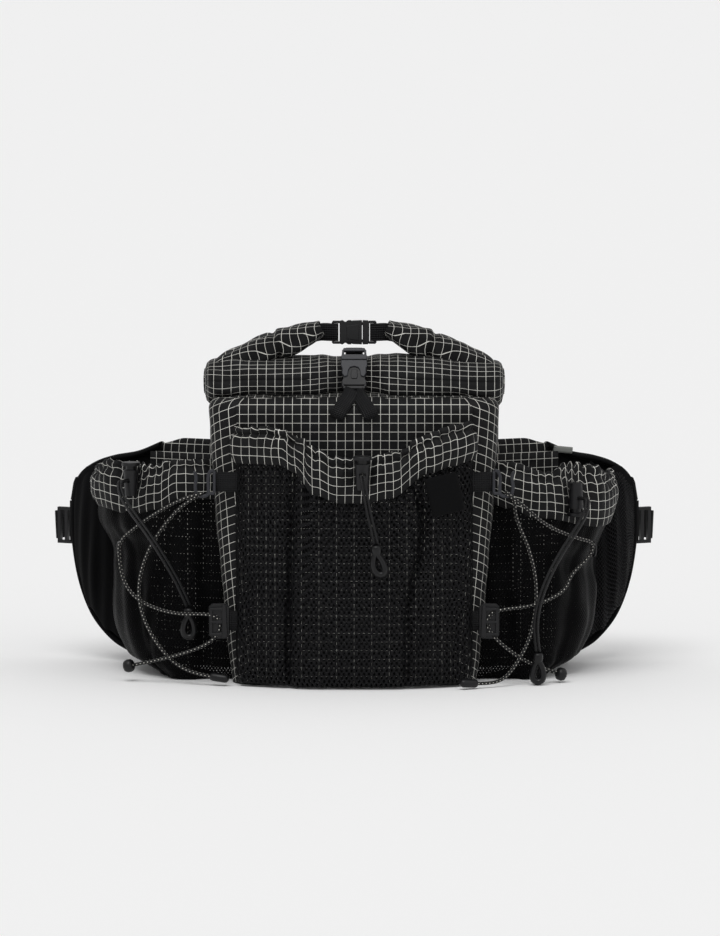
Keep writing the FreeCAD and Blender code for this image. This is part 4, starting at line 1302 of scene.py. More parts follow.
def let_fill(obj, flat, sewn, voxel=0.0):
    """Lets air pressure fill a padded piece inside its own cloth, then lays the pattern on it anew.
    Points that sewn() says are stitched down stay. flat() gives a point's place on the cloth in
    mm; a voxel size in mm makes an even grid first."""
    scene = bpy.context.scene
    close_ends(obj)
    bpy.ops.object.select_all(action="DESELECT")
    obj.select_set(True)
    bpy.context.view_layer.objects.active = obj
    if voxel:
        remesh = obj.modifiers.new("even_grid", "REMESH")
        remesh.mode = "VOXEL"
        remesh.voxel_size = voxel * MM
        bpy.ops.object.modifier_apply(modifier="even_grid")
    home = [v.co.copy() for v in obj.data.vertices]
    group = obj.vertex_groups.new(name="sewn")
    group.add([v.index for v in obj.data.vertices if sewn(v.co / MM)], 1.0, "REPLACE")
    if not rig.quick():
        cloth = obj.modifiers.new("fill", "CLOTH")
        rules = cloth.settings
        rules.quality = 5
        rules.mass = 0.3
        rules.tension_stiffness = rules.compression_stiffness = 15
        rules.bending_stiffness = 0.5
        rules.vertex_group_mass = "sewn"
        rules.use_pressure = True
        rules.uniform_pressure_force = FILL_PRESSURE
        rules.effector_weights.gravity = 0
        cloth.point_cache.frame_end = FILL_FRAMES
        for frame_number in range(1, FILL_FRAMES + 1):
            scene.frame_set(frame_number)
        bpy.ops.object.modifier_apply(modifier="fill")
        scene.frame_set(1)
        for vertex, start in zip(obj.data.vertices, home):
            move = vertex.co - start
            if move.length > FILL_REACH * MM:
                vertex.co = start + move * (FILL_REACH * MM / move.length)
    layer = obj.data.uv_layers.get("cloth") or obj.data.uv_layers.new(name="cloth")
    for loop in obj.data.loops:
        layer.data[loop.index].uv = flat(obj.data.vertices[loop.vertex_index].co / MM)
    finer = obj.modifiers.new("smooth", "SUBSURF")
    finer.levels = finer.render_levels = 1
    moved = max((v.co - a).length for v, a in zip(obj.data.vertices, home)) / MM
    print(obj.name, "filled, and moved at most", round(moved, 1), "mm")


# %% [markdown]
# A wing is thickest in its middle and thins to its bound edge. Its face near the compartment is
# grid cloth, and the rest is black.

# %% Padded wings with a bound edge
def wing_pad(side):
    def place(u, v):
        along = wing_reach(v)
        low, high = between(WING_FOOT, along), between(WING_HEAD, along)
        tip = math.sqrt(max(0.0, 1 - max(0.0, (along - 128) / 20.2) ** 2.4))
        middle, half = (low + high) / 2, (high - low) / 2 * (0.35 + 0.65 * tip)
        angle = 2 * math.pi * u
        c, s = math.cos(angle), math.sin(angle)
        b = half * math.copysign(abs(s) ** 0.45, s)
        fat = 6.0 * (0.25 + 0.75 * tip)
        a = fat * math.copysign(abs(c) ** 0.9, c)
        if c > 0:
            a += c * (1.2 * wobble(along, 0, b * 0.3, 15, 6.0 + side) + 1.0 * wobble(along, 4, b, 30, 2.0))
        return on_wing(side, along, 6.0 - a, middle + b)

    def along_wing(p):
        x, y = side * p.x - WING_ROOT[0], p.y - WING_ROOT[1]
        return x * math.cos(WING_TURN) + y * math.sin(WING_TURN)

    def at_rim(p):
        u = along_wing(p)
        return u < 2 or u > 145 or p.z < between(WING_FOOT, u) + 4 or p.z > between(WING_HEAD, u) - 4

    pad = sheet_of("wing_pad_" + WORD[side], 96, 90, place, lambda u, v: (0, 0), True)
    let_fill(pad, lambda p: (along_wing(p), p.z), at_rim)
    finish_piece(pad, "pack", ripstop, ["wing_" + WORD[side]], "padding")
    pad.data.materials.append(black_cloth)
    for face in pad.data.polygons:
        x = abs(face.center.x) / MM
        front = face.normal.y < 0.4
        face.material_index = 0 if (x < 172 and front) or (x < 185 and face.center.z > 0.188) else 1
    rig.padded(pad, 0.7)

    # the binding follows the outline 1.5 mm inside it
    outline = [(u, z - 1.5) for u, z in WING_HEAD[2:]] + [(u, z + 1.5) for u, z in WING_FOOT[:0:-1]]
    edge = curve_through([on_wing(side, u - (0.8 if u > 120 else 0), 4.0, z) for u, z in outline])

    def rib(u, v):
        p = edge(v)
        ahead = (edge(min(1, v + 0.01)) - edge(max(0, v - 0.01))).normalized()
        deep = Vector((-side * math.sin(WING_TURN), math.cos(WING_TURN), 0))
        out = ahead.cross(deep).normalized()
        angle = 2 * math.pi * u
        return tuple(p + deep * (6.7 * math.cos(angle)) + out * (3.0 * math.sin(angle)))

    bound = sheet_of("wing_binding_" + WORD[side], 12, 110, rib,
                     lambda u, v: (u * 14, v * edge.length), True)
    finish_piece(bound, "pack", black_cloth, (), "webbing")
    print("made", pad.name, "and", bound.name)


wing_pad(1)
wing_pad(-1)


# %% [markdown]
# Each wing carries a flat pocket on its outer end: mesh on the right wing, black cloth on the left.
# Its panel stands a little off the wing and is full of upright folds, and two bands bind its edges.

# %% Wing pockets and pull tab
def wing_panel(side):
    """The mesh panel on the wing's outer end, full of soft upright folds."""
    def place(u, v):
        along = 100 + 46 * u
        low, high = between(WING_FOOT, along) + 6, between(WING_HEAD, along) - 5 - 12 * bell(u, 0.25, 0.2)
        z = low + (high - low) * v
        full = math.sin(math.pi * u) ** 0.6 * math.sin(math.pi * (0.04 + 0.94 * v)) ** 0.5
        fold = 2.4 * wobble(u * 46 + z * 0.04, side * 11, z * 0.12, 8.5, 3.3)
        fold += 1.2 * math.sin(u * 24 + z * 0.02)
        return on_wing(side, along, -0.8 - 9.0 * full - fold * full, z)

    name = "wing_panel_" + WORD[side]
    panel = thicken(sheet_of(name, 60, 80, place, lambda u, v: (u * 60, v * 150)), 0.6)
    nodes = ["wing_pockets"] if side > 0 else []
    finish_piece(panel, "pack", wing_net if side > 0 else black_cloth, nodes, "mesh")
    for k, (u0, v0, u1, v1) in enumerate(((1, 0, 1, 1), (0, 1, 1, 1))):
        line = curve_through([place(u0 + (u1 - u0) * i / 12, v0 + (v1 - v0) * i / 12) for i in range(13)])
        flat_way = (side * math.cos(WING_TURN), math.sin(WING_TURN), 0) if k == 0 else (0, 0, 1)
        band = strap_of(f"{name}_band{k}", line, 9.0, 1.2, lambda t: flat_way)
        finish_piece(band, "pack", black_cloth, (), "webbing")


wing_net = knitted_mesh("polyester_mesh_wing", (3.0, 4.4), (0.74, 1.25), "#29292b")
wing_panel(1)
wing_panel(-1)
tab_line = curve_through([on_wing(1, u, -1.6 - 0.04 * (u - 66), 190 - 0.12 * (u - 66))
                          for u in (66, 72, 78, 84)])
pull_tab = strap_of("wing_pull_tab", tab_line, 6.0, 1.8, lambda t: (0, 0, 1))
finish_piece(pull_tab, "pack", tab_grey, (), "rubber")
print("wing pockets done")


# %% [markdown]
# ## Webbing
# All webbing is woven tape. Where a strap has to follow a buckle half that slides out, the tape
# bends between the two parts instead of tearing.

# %% Handle webbing
HANDLE_TAPE_WIDE = 15.0


def box_mm(node):
    low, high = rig.box(node)
    return low / MM, high / MM


inside = box_mm("handle_webbing_right")[0].x - 1.0
for side in (1, -1):
    line = curve_through([(side * x, y, handle_z + dz) for x, y, dz in (
        (inside, -2.2, 0), (inside + 6, -1.6, 0), (inside + 16, 0.2, 0.2), (sleeve_end, 0.6, -0.6),
        (sleeve_end + 9, 0.3, -3.5))])
    tape = strap_of("handle_tape_" + WORD[side], line, HANDLE_TAPE_WIDE, 1.5, lambda t: (0, 0, 1))
    inner = curve_through([(side * x, y, handle_z + dz) for x, y, dz in (
        (inside, 2.2, 0), (inside + 6, 2.4, 0), (inside + 14, 2.6, 0.2), (sleeve_end + 6, 2.4, -2.5))])
    back_tape = strap_of("handle_tape_back_" + WORD[side], inner, HANDLE_TAPE_WIDE, 1.4,
                         lambda t: (0, 0, 1))
    for piece, nodes in ((tape, ["handle_webbing_" + WORD[side]]), (back_tape, [])):
        if side > 0:
            bend_piece(piece, webbing, nodes, "webbing", "top_male_half",
                       ((sleeve_end + 8) * MM, 0, handle_z * MM), ((inside + 4) * MM, 0, handle_z * MM))
        else:
            finish_piece(piece, "pack", webbing, nodes, "webbing")
print("handle webbing starts", round(inside, 1), "mm from the middle")


# %% [markdown]
# The closure strap comes from the back over the roll, and below its buckle two legs of webbing are
# sewn to the top seam as an inverted V. Each leg leans outward as it goes down.

# %% Closure webbing
over = curve_through([(0, y, z) for y, z in (
    (57.6, 218), (58.4, 232), (56.5, 243), (40, 256), (27, 270), (12, 279.4), (-3, 281.0),
    (-13, 283.2), (-19.6, 285.6))])
strap = strap_of("closure_tape", over, 15.0, 1.5, lambda t: (1, 0, 0))
bend_piece(strap, webbing, ["closure_strap"], "webbing", "closure_male_half",
           (0, -0.007, 0.282), (0, -0.018, 0.285))
for side in (-1, 1):
    ahead = -1.2 if side < 0 else 0.8
    line = curve_through([
        (side * 1.5, -40.2 + ahead, 252.6), (side * 4.0, -47 + ahead, 247.5),
        (side * 8.0, -55.5 + ahead, 242.5), (side * 12.0, -60.2 + ahead * 0.6, 236),
        (side * 15, -59.6, 229)])
    leg = strap_of("closure_leg_" + WORD[side], line, 13.0, 1.4, lambda t: (1, 0, side * 0.35))
    finish_piece(leg, "pack", webbing, ["closure_webbing"] if side < 0 else [], "webbing")
print("closure strap", round(over.length), "mm long")


# %% [markdown]
# Each length of belt follows an arc from the ladder lock at the wing's tip to its buckle half. The
# arc's middle lies on the pack's centre plane, and its radius follows from its two ends.

# %% Belt and corner webbing
belt_low, belt_high = box_mm("belt_webbing_left")
x0, y0 = abs(belt_low.x) - 0.3, belt_low.y + 0.6
x1, y1 = abs(belt_high.x), belt_high.y - 0.8
run = x0 - x1
centre = (run * run + y0 * y0 - y1 * y1) / (2 * (y0 - y1))
radius = y1 - centre
span = math.asin(run / radius)
for side in (1, -1):
    line = curve_through([(side * (x1 + radius * math.sin(span * (1 - k / 12))),
                           centre + radius * math.cos(span * (1 - k / 12)),
                           118 + 1.2 * math.sin(k)) for k in range(13)])
    tape = strap_of("belt_tape_" + WORD[side], line, 25.0, 1.5, lambda t: (0, 0, 1))
    if side > 0:
        bend_piece(tape, webbing, ["belt_webbing_right"], "webbing", "belt_male_half",
                   (0.25, 0.13, 0.118), (0.03, 0.196, 0.118))
    else:
        finish_piece(tape, "pack", webbing, ["belt_webbing_left"], "webbing")

for side in (1, -1):
    for k, (z, reach) in enumerate(((175, 118), (56, 108))):
        line = curve_through([(side * x, y, z) for x, y in (
            (96, -59.5), (101, -59.4), ((101 + reach) / 2, -58.8), (reach, -58.0))])
        tab = strap_of(f"corner_tape_{WORD[side]}_{k}", line, 17, 1.4, lambda t: (0, 0, 1))
        finish_piece(tab, "pack", webbing, ["hook_webbing"] if side > 0 and k == 0 else [], "webbing")
print("belt radius", round(radius), "mm")


# %% [markdown]
# ## Back pad
# A foam panel under spacer mesh, with a crown in the middle and quilted channels.

# %% Back pad
def back_pad_place(u, v):
    low, high = box_mm("back_pad")
    z = low.z + (high.z - low.z) * v
    end = math.sqrt(max(0.0, 1 - abs(2 * v - 1) ** 9))
    angle = 2 * math.pi * u
    c, s = math.cos(angle), math.sin(angle)
    half = (high.x - low.x) / 2 * (0.86 + 0.14 * end)
    x = half * math.copysign(abs(s) ** 0.4, s)
    crown = 4.2 * end * (1 - 0.25 * (x / half) ** 4)
    groove = 1.8 * (bell(x, -34, 5) + bell(x, 34, 5)) * ease(end * 2)
    y = 60.4 + (crown - groove) * c if c > 0 else 60.4 + 3.6 * end * c
    return x, y, z


back_cushion = sheet_of("back_cushion", 120, 90, back_pad_place, lambda u, v: (0, 0), True)
let_fill(back_cushion, lambda p: (p.x, p.z), lambda p: p.y < 61.0, 4.5)
finish_piece(back_cushion, "pack", spacer, ["back_pad"], "padding")
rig.padded(back_cushion, 0.7)
print(back_cushion.name, "done")


# %% [markdown]
# ## Cords
# A smooth spline carries each cord. A NURBS curve passes near its points, not through them, and so
# it bends as evenly as a real cord.

# %% Smooth routes
def spline_points(name, route):
    """Points along a smooth spline that the route's points control, in metres."""
    data = bpy.data.curves.new(name + "_line", "CURVE")
    data.dimensions = "3D"
    spline = data.splines.new("NURBS")
    spline.points.add(len(route) - 1)
    for point, place in zip(spline.points, route):
        point.co = (place[0] * MM, place[1] * MM, place[2] * MM, 1)
    spline.order_u = 3
    spline.use_endpoint_u = True
    spline.resolution_u = 10
    holder = bpy.data.objects.new(name + "_line", data)
    bpy.context.scene.collection.objects.link(holder)
    mesh = bpy.data.meshes.new_from_object(holder)
    found = [v.co.copy() for v in mesh.vertices]
    bpy.data.objects.remove(holder)
    bpy.data.meshes.remove(mesh)
    return found


print("route helper ready")


# %% [markdown]
# A curve's own bevel would make a tube at once, but without cloth coordinates. So the tube is built
# ring by ring, each ring turned as little as possible from the last, and the braid's pattern can
# run in millimetres.

# %% Cords along their routes
def cord_along(name, route, dia, around=10):
    """A round cord along a route in mm, with its length and the points that it follows."""
    path = spline_points(name, route)
    line = [p / MM for p in path]
    across = Vector((0, 0, 1))
    points, faces, flats = [], [], []
    total = 0.0
    places = []
    for i, p in enumerate(line):
        ahead = (line[min(i + 1, len(line) - 1)] - line[max(i - 1, 0)]).normalized()
        across = (across - ahead * across.dot(ahead)).normalized()
        third = ahead.cross(across)
        if i:
            total += (p - line[i - 1]).length
        places.append(total)
        for k in range(around):
            a = 2 * math.pi * k / around
            points.append(tuple(p + (across * math.cos(a) + third * math.sin(a)) * dia / 2))
    girth = math.pi * dia
    for i in range(len(line) - 1):
        for k in range(around):
            m = (k + 1) % around
            faces.append((i * around + k, i * around + m, (i + 1) * around + m, (i + 1) * around + k))
            a, b = k / around * girth, (k + 1) / around * girth
            flats.append([(a, places[i]), (b, places[i]), (b, places[i + 1]), (a, places[i + 1])])
    last = (len(line) - 1) * around
    for order in (range(around - 1, -1, -1), range(last, last + around)):
        faces.append(tuple(order))
        flats.append([(0, 0)] * around)
    obj = mesh_object(name, points, faces, flats)
    return obj, total * MM, [tuple(p) for p in path]


print("cord helper ready")


# %% [markdown]
# Moulded tips are round, so each is a turned solid: a profile of radii along an axis. A Screw
# modifier turns about one of the object's own axes, and a tip has to point along its cord's end.

# %% Turned tips
def turned(name, foot, axis, profile, around=28):
    """A lathe-turned solid: profile is a list of (distance along the axis, radius) in mm."""
    foot, axis = Vector(foot), Vector(axis).normalized()
    side = axis.orthogonal().normalized()
    third = axis.cross(side)
    points = [tuple(foot + axis * profile[0][0])]
    for go, r in profile:
        for k in range(around):
            a = 2 * math.pi * k / around
            points.append(tuple(foot + axis * go + (side * math.cos(a) + third * math.sin(a)) * r))
    points.append(tuple(foot + axis * profile[-1][0]))
    faces = [(0, 1 + (k + 1) % around, 1 + k) for k in range(around)]
    for i in range(len(profile) - 1):
        for k in range(around):
            m = (k + 1) % around
            a, b = 1 + i * around, 1 + (i + 1) * around
            faces.append((a + k, a + m, b + m, b + k))
    last = 1 + (len(profile) - 1) * around
    faces += [(last + k, last + (k + 1) % around, len(points) - 1) for k in range(around)]
    return mesh_object(name, points, faces)


CAPSULE = [(0, 2.6), (0.5, 3.1), (2, 3.6), (13, 3.6), (15, 3.0), (16, 1.6)]
TOGGLE = [(0, 2.6), (0.8, 4.6), (2.2, 5.5), (5.5, 5.6), (7.8, 4.6), (9, 2.2)]
print("capsule", CAPSULE[-1][0], "mm and toggle", TOGGLE[-1][0], "mm long")


# %% [markdown]
# Each bungee runs from its capsule, round the hook and through the block, to its toggle. It bows
# loosely between them, so its route's points are given one by one.

# %% Bungees
BUNGEE_DIA = 3.0
BUNGEE = {
    "right": [
        (104.0, -79.0, 4.6), (116.0, -73.0, 3.6), (128.0, -65.5, 6.5), (138.0, -58.0, 17.0),
        (150.0, -52.0, 38.0), (156.0, -48.0, 66.0), (155.5, -46.0, 92.0), (149.0, -47.0, 118.0),
        (138.0, -50.0, 142.0), (136.5, -53.5, 161.0), (129.4, -53.2, 166.5), (129.4, -63.0, 165.5),
        (142.0, -62.5, 157.0), (164.0, -50.0, 136.0), (190.0, -33.0, 124.0), (207.0, -19.0, 118.5),
        (203.0, -17.0, 106.0), (186.0, -27.0, 92.0), (182.0, -33.0, 80.0), (168.0, -42.0, 72.0),
        (148.0, -51.0, 66.5), (127.0, -60.0, 66.0), (115.0, -59.6, 62.0), (113.0, -59.6, 50.0),
        (124.0, -59.6, 37.0), (140.0, -54.0, 24.0), (158.0, -47.0, 14.0), (174.0, -42.0, 8.5)],
    "left": [
        (-122.0, -60.0, 8.0), (-134.0, -57.0, 9.5), (-150.0, -50.0, 15.0), (-165.0, -43.0, 28.0),
        (-178.0, -38.0, 48.0), (-185.0, -35.0, 70.0), (-184.0, -35.0, 92.0), (-176.0, -39.0, 115.0),
        (-163.0, -44.0, 136.0), (-147.0, -50.0, 154.0), (-129.6, -52.8, 164.5), (-129.6, -63.0, 165.5),
        (-146.0, -61.0, 161.0), (-165.0, -49.0, 150.0), (-184.0, -35.0, 136.0), (-202.0, -20.0, 120.0),
        (-202.0, -15.5, 104.0), (-199.0, -18.0, 86.0), (-189.0, -26.0, 72.0), (-172.0, -38.0, 64.0),
        (-150.0, -50.0, 60.0), (-127.0, -60.0, 62.0), (-115.0, -59.6, 59.0), (-114.0, -59.6, 47.0),
        (-124.0, -59.6, 36.0), (-144.0, -54.0, 27.5), (-166.0, -46.0, 20.5), (-190.0, -36.0, 14.5)],
}
for word, route in BUNGEE.items():
    bungee, length, path = cord_along("bungee_cord_" + word, route, BUNGEE_DIA, 12)
    finish_piece(bungee, "pack", bungee_braid, ["bungee_" + word], "cord")
    tips = []
    for kind, profile, a, b in (("capsule", CAPSULE, route[1], route[0]),
                                ("toggle", TOGGLE, route[-2], route[-1])):
        a, b = Vector(a), Vector(b)
        tip = turned(f"{kind}_{word}", b - (b - a).normalized() * 0.6, b - a, profile)
        finish_piece(tip, "pack", acetal, ["bungee_ends_" + word] if kind == "toggle" else [], "acetal")
        tips.append(tip)
    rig.cord(bungee, path[0], length, 0.003, "fitting", "medium", "loose", path=path, with_pieces=tips)
    print("bungee", word, round(length, 3), "m")


# %% [markdown]
# A drawcord is two strands side by side, from the cord lock down to one moulded drop. Here are, for
# each, the lock's centre, the lock's turn in plan, the nodes that it stands for, and its route.

# %% Drawcord routes
DRAW = {
    "pocket": ((7.0, -95.6, 185.0), 0.0, "pocket_drawcord", "pocket_cord_pull",
               [(9, -113, 173.5), (12, -111.5, 156), (16, -108, 139), (18.5, -105, 127)]),
    "side_left": ((-191.6, -18.4, 172.0), -37.74, "side_drawcord_left", "side_cord_pull_left",
                  [(-199.5, -34.5, 161), (-190, -42, 147), (-175, -49, 128), (-161, -50.5, 106),
                   (-149, -47, 84), (-141.5, -45, 66)]),
    "side_right": ((190.4, -19.4, 157.0), 37.74, "side_drawcord_right", "side_cord_pull_right",
                   [(198.5, -35.5, 146), (190, -43.5, 132), (177, -52, 114), (165, -57, 92),
                    (156.5, -58.5, 68), (154.5, -58.5, 45), (157, -58, 29)]),
}
CORD_DIA = 2.4
STRAND_GAP = 2.8          # mm between the middles of the two strands
print("drawcords", *DRAW)


# %% [markdown]
# The two strands end in one soft moulded drop: a waisted neck that opens into a finger loop. The
# loop is a ring whose radius and thickness change on the way round, and the neck is turned.

# %% Moulded drop
def cord_drop(name, end, lean):
    """A drop under the cord's end; lean tilts its loop and neck to one side."""
    x, y, z = end
    loop = []
    for k in range(28):
        a = 2 * math.pi * k / 28
        wide = 4.3 * math.sin(a) * (1 - 0.34 * math.cos(a))
        loop.append(Vector((wide + lean * (1 - math.cos(a)) * 4, 0, 8.6 * math.cos(a))))
    centre = Vector((x, y, z - 17.2))
    points, faces = [], []
    for k, p in enumerate(loop):
        ahead = (loop[(k + 1) % 28] - loop[k - 1]).normalized()
        flat = Vector((0, 1, 0))
        out = ahead.cross(flat)
        thick = 2.5 + 0.6 * (0.5 - 0.5 * math.cos(2 * math.pi * k / 28))
        for m in range(12):
            b = 2 * math.pi * m / 12
            points.append(tuple(centre + p + flat * math.cos(b) * thick * 1.25 + out * math.sin(b) * thick))
    for k in range(28):
        for m in range(12):
            n, q = (k + 1) % 28, (m + 1) % 12
            faces.append((k * 12 + m, k * 12 + q, n * 12 + q, n * 12 + m))
    ring = mesh_object(name, points, faces)
    neck = turned(name + "_neck", (x, y, z - 1.0), (lean * 0.1, 0, -1),
                  [(0, 3.0), (0.8, 4.0), (3, 4.4), (6, 4.2), (8.5, 3.2), (10, 2.2)], 20)
    bpy.ops.object.select_all(action="DESELECT")
    neck.select_set(True)
    ring.select_set(True)
    bpy.context.view_layer.objects.active = ring
    bpy.ops.object.join()
    return ring


print("drop helper ready")


# %% [markdown]
# The strands start level, inside the lock, so they run straight along the way that the lock slides.

# %% Drawcords
for word, (centre, yaw, cad_cord, cad_pull, route) in DRAW.items():
    turn = math.radians(yaw)
    out = Vector((math.sin(turn), -math.cos(turn), 0))
    flat_across = Vector((math.cos(turn), math.sin(turn), 0))
    middle = [Vector(centre) + out * reach for reach in (-8.15, 10.0, 16.1)] + [Vector(p) for p in route]
    drop = cord_drop(word + "_drop", route[-1], 0.5 if word == "pocket" else 0.0)
    finish_piece(drop, "pack", rubber_pull, [cad_pull], "rubber")
    for k, side in enumerate((-1, 1)):
        strand_route = []
        for i, p in enumerate(middle):
            offset = flat_across
            if i > 2:
                along = middle[min(i + 1, len(middle) - 1)] - middle[i - 1]
                offset = along.cross(Vector((0, 1, 0))).normalized()
            strand_route.append(p + offset * (side * STRAND_GAP / 2))
        strand, length, path = cord_along(f"{word}_strand_{k}", strand_route, CORD_DIA)
        finish_piece(strand, "pack", thin_braid, [cad_cord] if k == 0 else [], "cord")
        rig.cord(strand, path[0], length, CORD_DIA * MM, "fitting", "limp", "hanging", path=path,
                with_pieces=[drop])
        print(word, "strand", k, round(length, 4), "m")


# %% [markdown]
# ## Hard parts
# Each gear hook is an open loop for the cord beside a frame for the tape. It could be cut from a
# plate, but a real one is rounded all over, so it is three bars with rounded sections.

# %% Gear hooks
def bar_along(name, line, wide, deep, rows=60):
    """A rounded bar whose middle follows a line that lies in an upright plane facing the front."""
    def place(u, v):
        p = line(v)
        ahead = (line(min(1, v + 0.01)) - line(max(0, v - 0.01))).normalized()
        out = ahead.cross(Vector((0, 1, 0)))
        angle = 2 * math.pi * u
        c, s = math.cos(angle), math.sin(angle)
        end = math.sqrt(max(0.05, 1 - abs(2 * v - 1) ** 26))
        a = math.copysign(abs(c) ** 0.6, c) * wide / 2 * end
        b = math.copysign(abs(s) ** 0.6, s) * deep / 2 * end
        return tuple(p + out * a + Vector((0, 1, 0)) * b)
    return sheet_of(name, 16, rows, place, lambda u, v: (u * 12, v * line.length), True)


# the right hook seen from the front, as x and z
HOOK_LOOP = [(118.5, 184.6), (122.5, 184), (124.3, 178), (124, 170), (124.5, 164.5), (129.3, 162.6),
             (134, 164.8), (135.2, 171), (134.4, 179), (136.2, 184.5)]
HOOK_FRAME = [(119, 184.5), (119, 176), (119, 165)]
HOOK_FOOT = [(118.6, 165.2), (124.6, 165.0)]
HOOK_BARS = ((HOOK_LOOP, 3.0, 70), (HOOK_FRAME, 2.6, 20), (HOOK_FOOT, 2.6, 20))
for side in (1, -1):
    for k, (points, wide, rows) in enumerate(HOOK_BARS):
        line = curve_through([(side * x, -59.2, z) for x, z in points])
        hook = bar_along(f"gear_hook_{WORD[side]}_{k}", line, wide, 3.4, rows)
        finish_piece(hook, "pack", acetal_grey, ["gear_hooks"] if side > 0 and k == 0 else [], "acetal")
    print("gear hook", WORD[side])


# %% [markdown]
# The frame's own arms, locks and belt buckle already have their true moulded shapes, so they only
# take the plastic. The half of the closure buckle that slides out is a paler graphite.

# %% Plastics on the moulded parts
def give(nodes, material):
    for name in nodes:
        part = frame["nodes"][name]
        part.data.materials.clear()
        part.data.materials.append(material)


give([n for n in frame["nodes"] if "buckle" in n or "prong" in n or "lock" in n], acetal)
give(["closure_buckle_male", "closure_prong_right", "closure_prong_left"], acetal_grey)
give(["keeper_loops"], rubber_pull)
print("plastics given")


# %% [markdown]
# The two buckles in view and the cord blocks are modelled again with soft moulded edges, waisted
# sides and open slots for the tape, since light along those edges is what tells a buckle apart
# from a plain block. Each half rides with its own half in the frame, so it still slides out.

# %% Flat mouldings
def moulding(name, outlines, centre, up, bevel=0.5):
    """A flat moulding from outlines in its own plane, each (points, from, to) through its depth.
    up is the direction of its length; its width lies along X. It stands out toward -Y."""
    up = Vector(up).normalized()
    across = Vector((1, 0, 0))
    out = up.cross(across)
    if out.y > 0:
        out = -out
    mesh = bpy.data.meshes.new(name)
    grown = bmesh.new()
    for points, low, high in outlines:
        ring = [grown.verts.new((Vector(centre) + across * a + up * b + out * low) * MM) for a, b in points]
        face = grown.faces.new(ring)
        moved = bmesh.ops.extrude_face_region(grown, geom=[face])
        top = [g for g in moved["geom"] if isinstance(g, bmesh.types.BMVert)]
        bmesh.ops.translate(grown, verts=top, vec=out * (high - low) * MM)
    bmesh.ops.recalc_face_normals(grown, faces=grown.faces)
    grown.to_mesh(mesh)
    grown.free()
    obj = bpy.data.objects.new(name, mesh)
    bpy.context.scene.collection.objects.link(obj)
    edge = obj.modifiers.new("edges", "BEVEL")
    edge.width = bevel * MM
    edge.segments = 3
    edge.limit_method = "ANGLE"
    return obj


def mirrored_outline(half):
    """A closed outline from its right half, which runs from bottom to top."""
    return half + [(-x, y) for x, y in half[::-1]]


def flipped(points):
    return [(-x, y) for x, y in points[::-1]]


print("moulding helpers ready")


# %% [markdown]
# The closure buckle leans back with the strap. Its outlines are x, then height along that lean.

# %% Closure buckle
closure_up = Vector((0, 0.469, 0.883))
closure_at = Vector((0, -39.1, 251.8))
SOCKET = mirrored_outline([(6.5, 3.4), (9.6, 3.6), (10.6, 6.5), (9.4, 9), (9.2, 15), (10.6, 17.5),
                           (10.8, 26)])
SOCKET_FOOT = mirrored_outline([(9.5, 0.2), (9.5, 2.8)])
SOCKET_CHEEK = [(8.4, 1.5), (10.4, 2.4), (10.6, 6.5), (8.4, 6.5)]
ARCH_SIDE = [(10.9, 26), (11.3, 21), (10.0, 18), (10.2, 14), (8.4, 10.5), (5.6, 11.5), (5.0, 16.5),
             (3.4, 19.2)]
ARCH = ARCH_SIDE + [(0, 20.2)] + flipped(ARCH_SIDE)
TONGUE = mirrored_outline([(2.2, 9), (3.0, 11), (2.6, 17.5)])
PLUG = mirrored_outline([(10.8, 26.6), (11.3, 29.5), (10.4, 31.4)])
PLUG_BAR = mirrored_outline([(10.2, 35.2), (9.0, 38.1)])
PLUG_CHEEK = [(8.6, 31), (10.6, 31), (10.3, 36), (8.6, 36)]
for name, body, nodes, material, outlines in (
        ("closure_socket", "pack", ["closure_buckle_female"], acetal,
         [(SOCKET, -3.5, 3.2), (SOCKET_FOOT, -2.5, 2.8), (SOCKET_CHEEK, -2.8, 3.0),
          (flipped(SOCKET_CHEEK), -2.8, 3.0), (TONGUE, 3.0, 3.9)]),
        ("closure_arch", "pack", [], acetal_grey, [(ARCH, 2.6, 4.6)]),
        ("closure_plug", "closure_male_half", ["closure_buckle_male"], acetal_grey,
         [(PLUG, -3.5, 4.4), (PLUG_BAR, -1.6, 2.4), (PLUG_CHEEK, -2.6, 3.4),
          (flipped(PLUG_CHEEK), -2.6, 3.4)])):
    piece = moulding(name, outlines, closure_at, closure_up)
    finish_piece(piece, body, material, nodes, "acetal", False)
    print("moulded", name)


# %% [markdown]
# The handle buckle lies along X, and its outlines are x, then height above its middle.

# %% Handle buckle
HANDLE_SOCKET = [(-12.6, -9.6), (-10, -10.4), (-8, -8.9), (-3.6, -8.6), (-1.5, -10.0), (6.7, -10.3),
                 (6.7, 10.3), (-1.5, 10.0), (-3.6, 8.6), (-8, 8.9), (-10, 10.4), (-12.6, 9.6)]
HANDLE_PLUG = [(7.2, -10.3), (12.0, -10.1), (13.0, -8.4), (13.0, 8.4), (12.0, 10.1), (7.2, 10.3)]
HANDLE_RIB = [(-6.5, -5.5), (1.5, -6.8), (4.0, -6.8), (4.0, 6.8), (1.5, 6.8), (-6.5, 5.5)]


def slotted_end(x0, x1, bar):
    """Rails from x0 to x1 above and below a slot, and the bar that closes it."""
    rails = [[(x0, s * 7.9), (x1, s * 7.9), (x1, s * 9.9), (x0, s * 9.9)] for s in (-1, 1)]
    closing = [(bar[0], -9.6), (bar[1], -9.0), (bar[1], 9.0), (bar[0], 9.6)]
    return [(rail, -2.4, 2.4) for rail in rails] + [(closing, -2.2, 2.2)]


